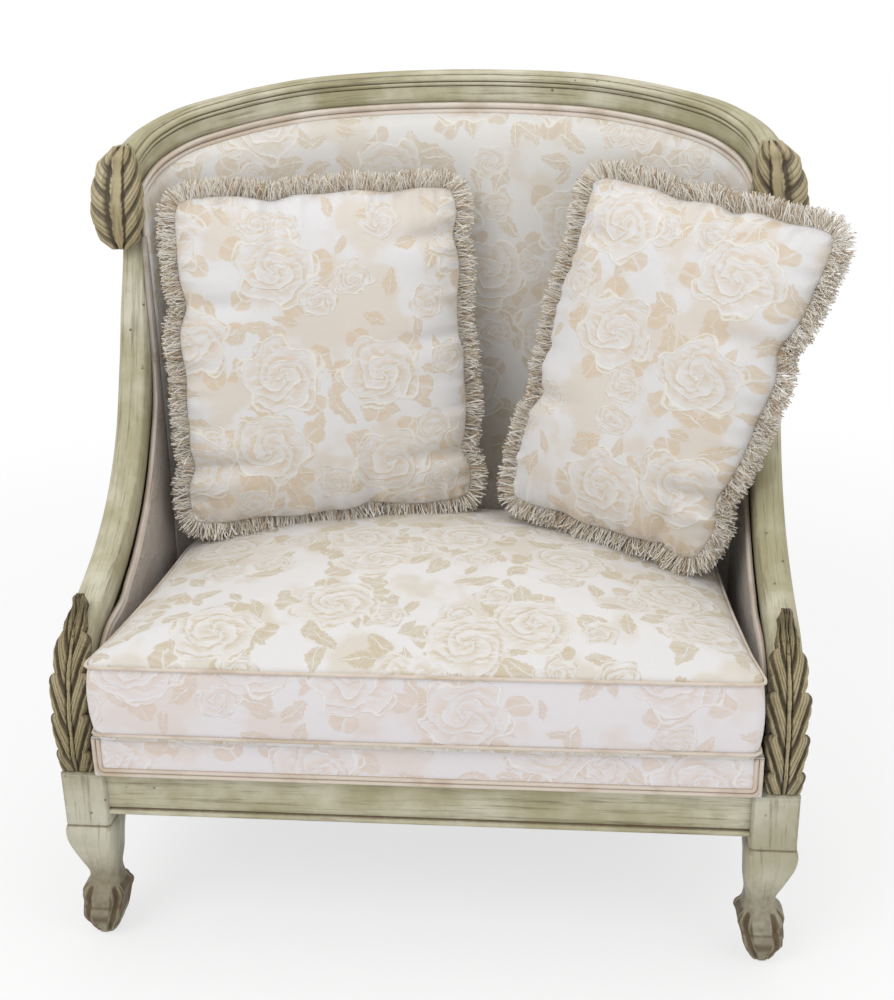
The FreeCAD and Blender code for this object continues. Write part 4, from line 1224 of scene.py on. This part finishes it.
# A point of the pillow's seam plane. s and t run from -1 to 1 across it and up it.
def pillowSpot(lie, s, t):
    shape, seed = pillowShape, lie["seed"]
    headLeft, headRight, footRight, footLeft = np.array(lie["corners"])
    left, top = (1 - s) / 2, (1 + t) / 2
    x, z = ((headLeft * left + headRight * (1 - left)) * top
            + (footLeft * left + footRight * (1 - left)) * (1 - top))
    sideWave = math.sin(7.3 * t + seed + s) + 0.7 * math.sin(15.1 * t + 2 * seed + s)
    topWave = math.sin(6.7 * s + seed - t) + 0.7 * math.sin(14.3 * s + 3 * seed - t)
    corner = abs(s * t) ** 9 * shape["corner"]
    x -= s * (abs(s) * (1 - t ** 2) * (shape["draw"] + shape["wave"] * sideWave) + corner)
    z -= t * (abs(t) * (1 - s ** 2) * (shape["draw"] * 0.8 + shape["headWave"] * topWave) + corner)
    for side, place, deep in lie["tucks"]:
        wayX, wayZ = tuckWays[side]
        across = t if wayX else s
        pull = deep * max(0.0, s * wayX + t * wayZ) ** 5
        pull *= math.exp(-((across - place) / 0.09) ** 2)
        x, z = x - wayX * pull, z - wayZ * pull
    return x, z


# Thickness of one half: full in the middle, gathered along the seam and into the tucks.
def pillowThick(lie, s, t, face):
    flat = ((1 - abs(s) ** 2.8) * (1 - abs(t) ** 2.8)) ** 0.52
    edge = min(1 - abs(s), 1 - abs(t))
    along = s if abs(t) > abs(s) else t
    seed = lie["seed"] + 5 * face
    gather = (math.sin(23 * along + seed) + 0.8 * math.sin(41 * along + 2.1 * seed)
              + 0.6 * math.sin(67 * along + 0.7 * seed))
    crease = pillowShape["crease"] * gather * math.exp(-edge / 0.09) * min(1.0, edge / 0.03)
    swell = 1 + 0.06 * math.sin(3.1 * s + seed) * math.cos(2.7 * t + seed)
    swell += 0.02 * math.sin(9 * s + 6 * t + seed)
    for side, place, deep in lie["tucks"]:
        wayX, wayZ = tuckWays[side]
        long, wide = (s - wayX, t - place) if wayX else (t - wayZ, s - place)
        swell -= deep * 42 * math.exp(-(wide / 0.045) ** 2 - (long / 0.36) ** 2)
        swell += deep * 12 * math.exp(-((abs(wide) - 0.13) / 0.07) ** 2 - (long / 0.4) ** 2)
    return pillowShape["half"] * flat * max(swell, 0.1) + crease


def makePillow(side):
    lie, shape = pillows[side], pillowShape
    turn = pillowTurn(lie)
    n, quarter = shape["grid"], math.pi / 2 * shape["crowd"]
    steps = np.sin(np.linspace(-quarter, quarter, n)) / math.sin(quarter)
    verts, uvPoints = [], []
    for face in (-1, 1):
        shift = (0.9 if face > 0 else 0) + lie["seed"] * 0.071
        for t in steps:
            for s in steps:
                x, z = pillowSpot(lie, s, t)
                verts.append((x, face * pillowThick(lie, s, t, face), z))
                uvPoints.append((x + shift, z))
    faces = gridFaces(n, n)
    faces += [tuple(i + n * n for i in face[::-1]) for face in faces]
    placed = np.array(verts) @ turn[:3, :3].T + turn[:3, 3]
    piece = addPiece(side + "Pillow", placed, faces, loopUv(faces, uvPoints), weld=shape["weld"])
    finishPiece(piece, "pillow_" + side, pillowCloth,
                [side + "_pillow_cover", side + "_pillow_filling"])


# The brush fringe: bunches of cut yarns stand out of the seam, fanned front to back.
fringe = {"yarns": 5200, "length": 0.0275, "radius": 0.00085, "fan": 0.80, "steps": 90,
          "stray": 0.42, "shortest": 0.74, "spread": 0.004}


def fringeTree():
    tree, take, give = newGroup("brushFringe", {
        "Geometry": "Geometry", "Yarns": "Int", "Length": "Float", "Yarn Radius": "Float",
        "Fan": "Float", "Seed": "Int", "Material": "Material"},
        {"Geometry": "Geometry"}, "GeometryNodeTree")

    def random(low, high, shift, kind="FLOAT"):
        seed = node(tree, "FunctionNodeIntegerMath", {0: take["Seed"], 1: shift}, 0,
                    operation="ADD")
        first, out = (2, 1) if kind == "FLOAT" else (0, 0)
        return node(tree, "FunctionNodeRandomValue", {first: low, first + 1: high, "Seed": seed},
                    out, data_type=kind)

    def kept(name):
        return node(tree, "GeometryNodeInputNamedAttribute", {"Name": name}, 0,
                    data_type="FLOAT_VECTOR")

    curve = node(tree, "GeometryNodeMeshToCurve", {0: take["Geometry"]}, 0)
    spread = node(tree, "GeometryNodeResampleCurve", {"Curve": curve, "Count": take["Yarns"]}, 0)
    bend = node(tree, "GeometryNodeCurveQuadraticBezier", {
        "Resolution": 4, "Start": (0, 0, 0), "Middle": (0.04, 0, 0.6), "End": (0.24, 0, 1.0)}, 0)
    size = node(tree, "GeometryNodeCurvePrimitiveCircle", {
        "Resolution": 3, "Radius": take["Yarn Radius"] / take["Length"]}, 0)
    strand = node(tree, "GeometryNodeCurveToMesh", {"Curve": bend, "Profile Curve": size}, 0)
    facing = kept("facing")
    fan = random(-1.0, 1.0, 3) * take["Fan"]
    way = vec(tree, "ADD", kept("outward"), vec(tree, "SCALE", facing, fan))
    stray = fringe["stray"]
    way = vec(tree, "ADD", way, random((-stray,) * 3, (stray,) * 3, 5, "FLOAT_VECTOR"))
    align = node(tree, "FunctionNodeAlignRotationToVector", {"Vector": way}, 0, axis="Z")
    spin = node(tree, "FunctionNodeAxisAngleToRotation", {
        "Axis": (0, 0, 1), "Angle": random(0.0, 6.283, 7)}, 0)
    turn = node(tree, "FunctionNodeRotateRotation", {0: align, 1: spin}, 0,
                rotation_space="LOCAL")
    place = node(tree, "GeometryNodeInstanceOnPoints", {
        "Points": spread, "Instance": strand, "Rotation": turn,
        "Scale": random(fringe["shortest"], 1.0, 9) * take["Length"]}, 0)
    shift = node(tree, "GeometryNodeTranslateInstances", {
        "Instances": place, "Local Space": False,
        "Translation": vec(tree, "SCALE", facing, fan * fringe["spread"])}, 0)
    tone = node(tree, "GeometryNodeStoreNamedAttribute", {
        "Geometry": shift, "Name": "yarnTone", "Value": random(0.0, 1.0, 13)}, 0,
        data_type="FLOAT", domain="INSTANCE")
    real = node(tree, "GeometryNodeRealizeInstances", {0: tone}, 0)
    plug(tree, give[0], node(tree, "GeometryNodeSetMaterial", {
        "Geometry": real, "Material": take["Material"]}, 0))
    return tree


fringeNodes = fringeTree()


def makeFringe(side):
    lie = pillows[side]
    turn = pillowTurn(lie)
    edge = np.linspace(-1, 1, fringe["steps"], endpoint=False)
    spots = [(s, 1.0) for s in edge] + [(1.0, -t) for t in edge]
    spots += [(-s, -1.0) for s in edge] + [(-1.0, t) for t in edge]
    seam = np.array([pillowSpot(lie, s, t) for s, t in spots])
    way = np.roll(seam, -3, axis=0) - np.roll(seam, 3, axis=0)
    out = np.stack([-way[:, 1], 0 * way[:, 0], way[:, 0]], 1)
    out /= np.linalg.norm(out, axis=1, keepdims=True)
    points = np.stack([seam[:, 0], 0 * seam[:, 0], seam[:, 1]], 1)
    path = pathObject(side + "FringePath", points @ turn[:3, :3].T + turn[:3, 3],
                      {"outward": out @ turn[:3, :3].T,
                       "facing": np.tile(turn[:3, 1], (len(seam), 1))})
    made = applyTree(path, fringeNodes, {"Yarns": fringe["yarns"], "Length": fringe["length"],
                     "Yarn Radius": fringe["radius"], "Fan": fringe["fan"],
                     "Seed": lie["seed"], "Material": yarn})
    finishPiece(made, "pillow_" + side, yarn, [side + "_pillow_fringe"])
    print(side, "fringe faces", len(made.data.polygons))


for side in ("left", "right"):
    makePillow(side)
    makeFringe(side)
print("pillows made")


# What is carried over from the frame takes a finish of its kind.
objectPaint = paintMaterial("objectPaint", *frameColours, 0.7, 0.6, False)
carried = [
    (objectPaint, ["rear_leg_left", "rear_leg_right", "side_rail_left", "side_rail_right",
                   "back_rail"]),
    (bareBeech, ["corner_blocks", "arm_tack_rail_left", "arm_tack_rail_right", "back_tack_rail",
                 "dowels"]),
    (springSteel, ["corner_screws", "seat_springs", "spring_clips"]),
    (glideNylon, ["floor_glides"]), (hessianCloth, ["seat_hessian"]),
    (deckCloth, ["deck_cloth"]), (wadding, ["deck_pad"]), (dustCloth, ["dust_cover"]),
    (weltCloth, ["outer_welt_left", "outer_welt_right", "outer_welt_back", "base_welt"])]
for material, names in carried:
    for name in names:
        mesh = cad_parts[name].data
        mesh.materials.clear()
        mesh.materials.append(material)
print("carried pieces dressed")


# Studio: pale floor, soft lights, and the photograph's camera.
studio = {"world": 0.60, "floor": 0.92, "floorReach": 12.0, "floorGlow": 0.70,
          "fadeFrom": 0.9, "fadeTo": 2.4}
lamps = {  # place, aim, size, power
    "keyLight": ((-1.6, -2.2, 2.9), (0, 0, 0.6), 2.2, 40.0),
    "fillLight": ((2.2, -1.8, 1.7), (0, 0, 0.5), 2.4, 14.0),
    "topLight": ((0.2, 0.4, 3.4), (0, 0, 0.6), 2.6, 26.0)}
for name, (place, aim, size, power) in lamps.items():
    light = bpy.data.lights.new(name, "AREA")
    light.shape = "DISK"
    light.size = size
    light.energy = power
    lamp = bpy.data.objects.new(name, light)
    bpy.context.scene.collection.objects.link(lamp)
    lamp.location = place
    lamp.rotation_euler = (Vector(aim) - Vector(place)).to_track_quat("-Z", "Y").to_euler()


# 1 for the rays that see a thing itself, 0 for those that only gather light.
def seenBy(tree, *rays):
    path = node(tree, "ShaderNodeLightPath")
    seen = Wire(tree, path.outputs[rays[0]])
    for ray in rays[1:]:
        seen = seen.math("MAXIMUM", Wire(tree, path.outputs[ray]))
    return seen


def makeWorld():
    world = bpy.data.worlds.new("studioWorld")
    bpy.context.scene.world = world
    world.use_nodes = True
    tree = world.node_tree
    tree.nodes.clear()
    soft, white = [node(tree, "ShaderNodeBackground", {"Color": (1, 1, 1, 1), "Strength": power},
                        0) for power in (studio["world"], 1.0)]
    seen = seenBy(tree, "Is Camera Ray", "Is Glossy Ray", "Is Transmission Ray")
    mixed = node(tree, "ShaderNodeMixShader", {0: seen, 1: soft, 2: white}, 0)
    node(tree, "ShaderNodeOutputWorld", {"Surface": mixed})


def makeFloor():
    mesh = bpy.data.meshes.new("floor")
    reach = studio["floorReach"]
    mesh.from_pydata([(-reach, -reach, 0), (reach, -reach, 0), (reach, reach, 0),
                      (-reach, reach, 0)], [], [(0, 1, 2, 3)])
    floor = bpy.data.objects.new("floor", mesh)
    bpy.context.scene.collection.objects.link(floor)
    material, tree, shader = newMaterial("paleFloor")
    setLook(tree, shader, {"Base Color": (studio["floor"],) * 3 + (1,), "Roughness": 0.9,
                           "Specular IOR Level": 0.0})
    glow = node(tree, "ShaderNodeEmission", {"Color": (1, 1, 1, 1), "Strength": 1.0}, 0)
    far = vec(tree, "LENGTH", objectPlace(tree), out=1).step(studio["fadeFrom"], studio["fadeTo"])
    seen = seenBy(tree, "Is Camera Ray", "Is Glossy Ray")
    seen = seen * (far * (1 - studio["floorGlow"]) + studio["floorGlow"])
    output = [made for made in tree.nodes if made.type == "OUTPUT_MATERIAL"][0]
    plug(tree, output.inputs["Surface"], node(tree, "ShaderNodeMixShader", {
        0: seen, 1: Wire(tree, shader.outputs[0]), 2: glow}, 0))
    mesh.materials.append(material)


makeWorld()
makeFloor()

camera = {"place": (0.17209, -1.76350, 1.13952), "yaw": -5.364, "down": 19.888, "roll": -0.996,
          "lens": 48.62, "sensor": 36.0}


def makeCamera():
    yaw, down, roll = (math.radians(camera[key]) for key in ("yaw", "down", "roll"))
    ahead = Vector((math.sin(yaw) * math.cos(down), math.cos(yaw) * math.cos(down),
                    -math.sin(down)))
    right = Vector((math.cos(yaw), -math.sin(yaw), 0))
    up = right.cross(ahead)
    tiltedRight = right * math.cos(roll) + up * math.sin(roll)
    tiltedUp = -right * math.sin(roll) + up * math.cos(roll)
    data = bpy.data.cameras.new("photoCamera")
    data.lens = camera["lens"]
    data.sensor_width = camera["sensor"]
    data.sensor_fit = "AUTO"
    rig = bpy.data.objects.new("photoCamera", data)
    bpy.context.scene.collection.objects.link(rig)
    turn = Matrix((tiltedRight, tiltedUp, -ahead)).transposed().to_4x4()
    rig.matrix_world = Matrix.Translation(camera["place"]) @ turn
    bpy.context.scene.camera = rig


makeCamera()
bpy.context.scene.view_settings.view_transform = "Standard"
print("studio made")
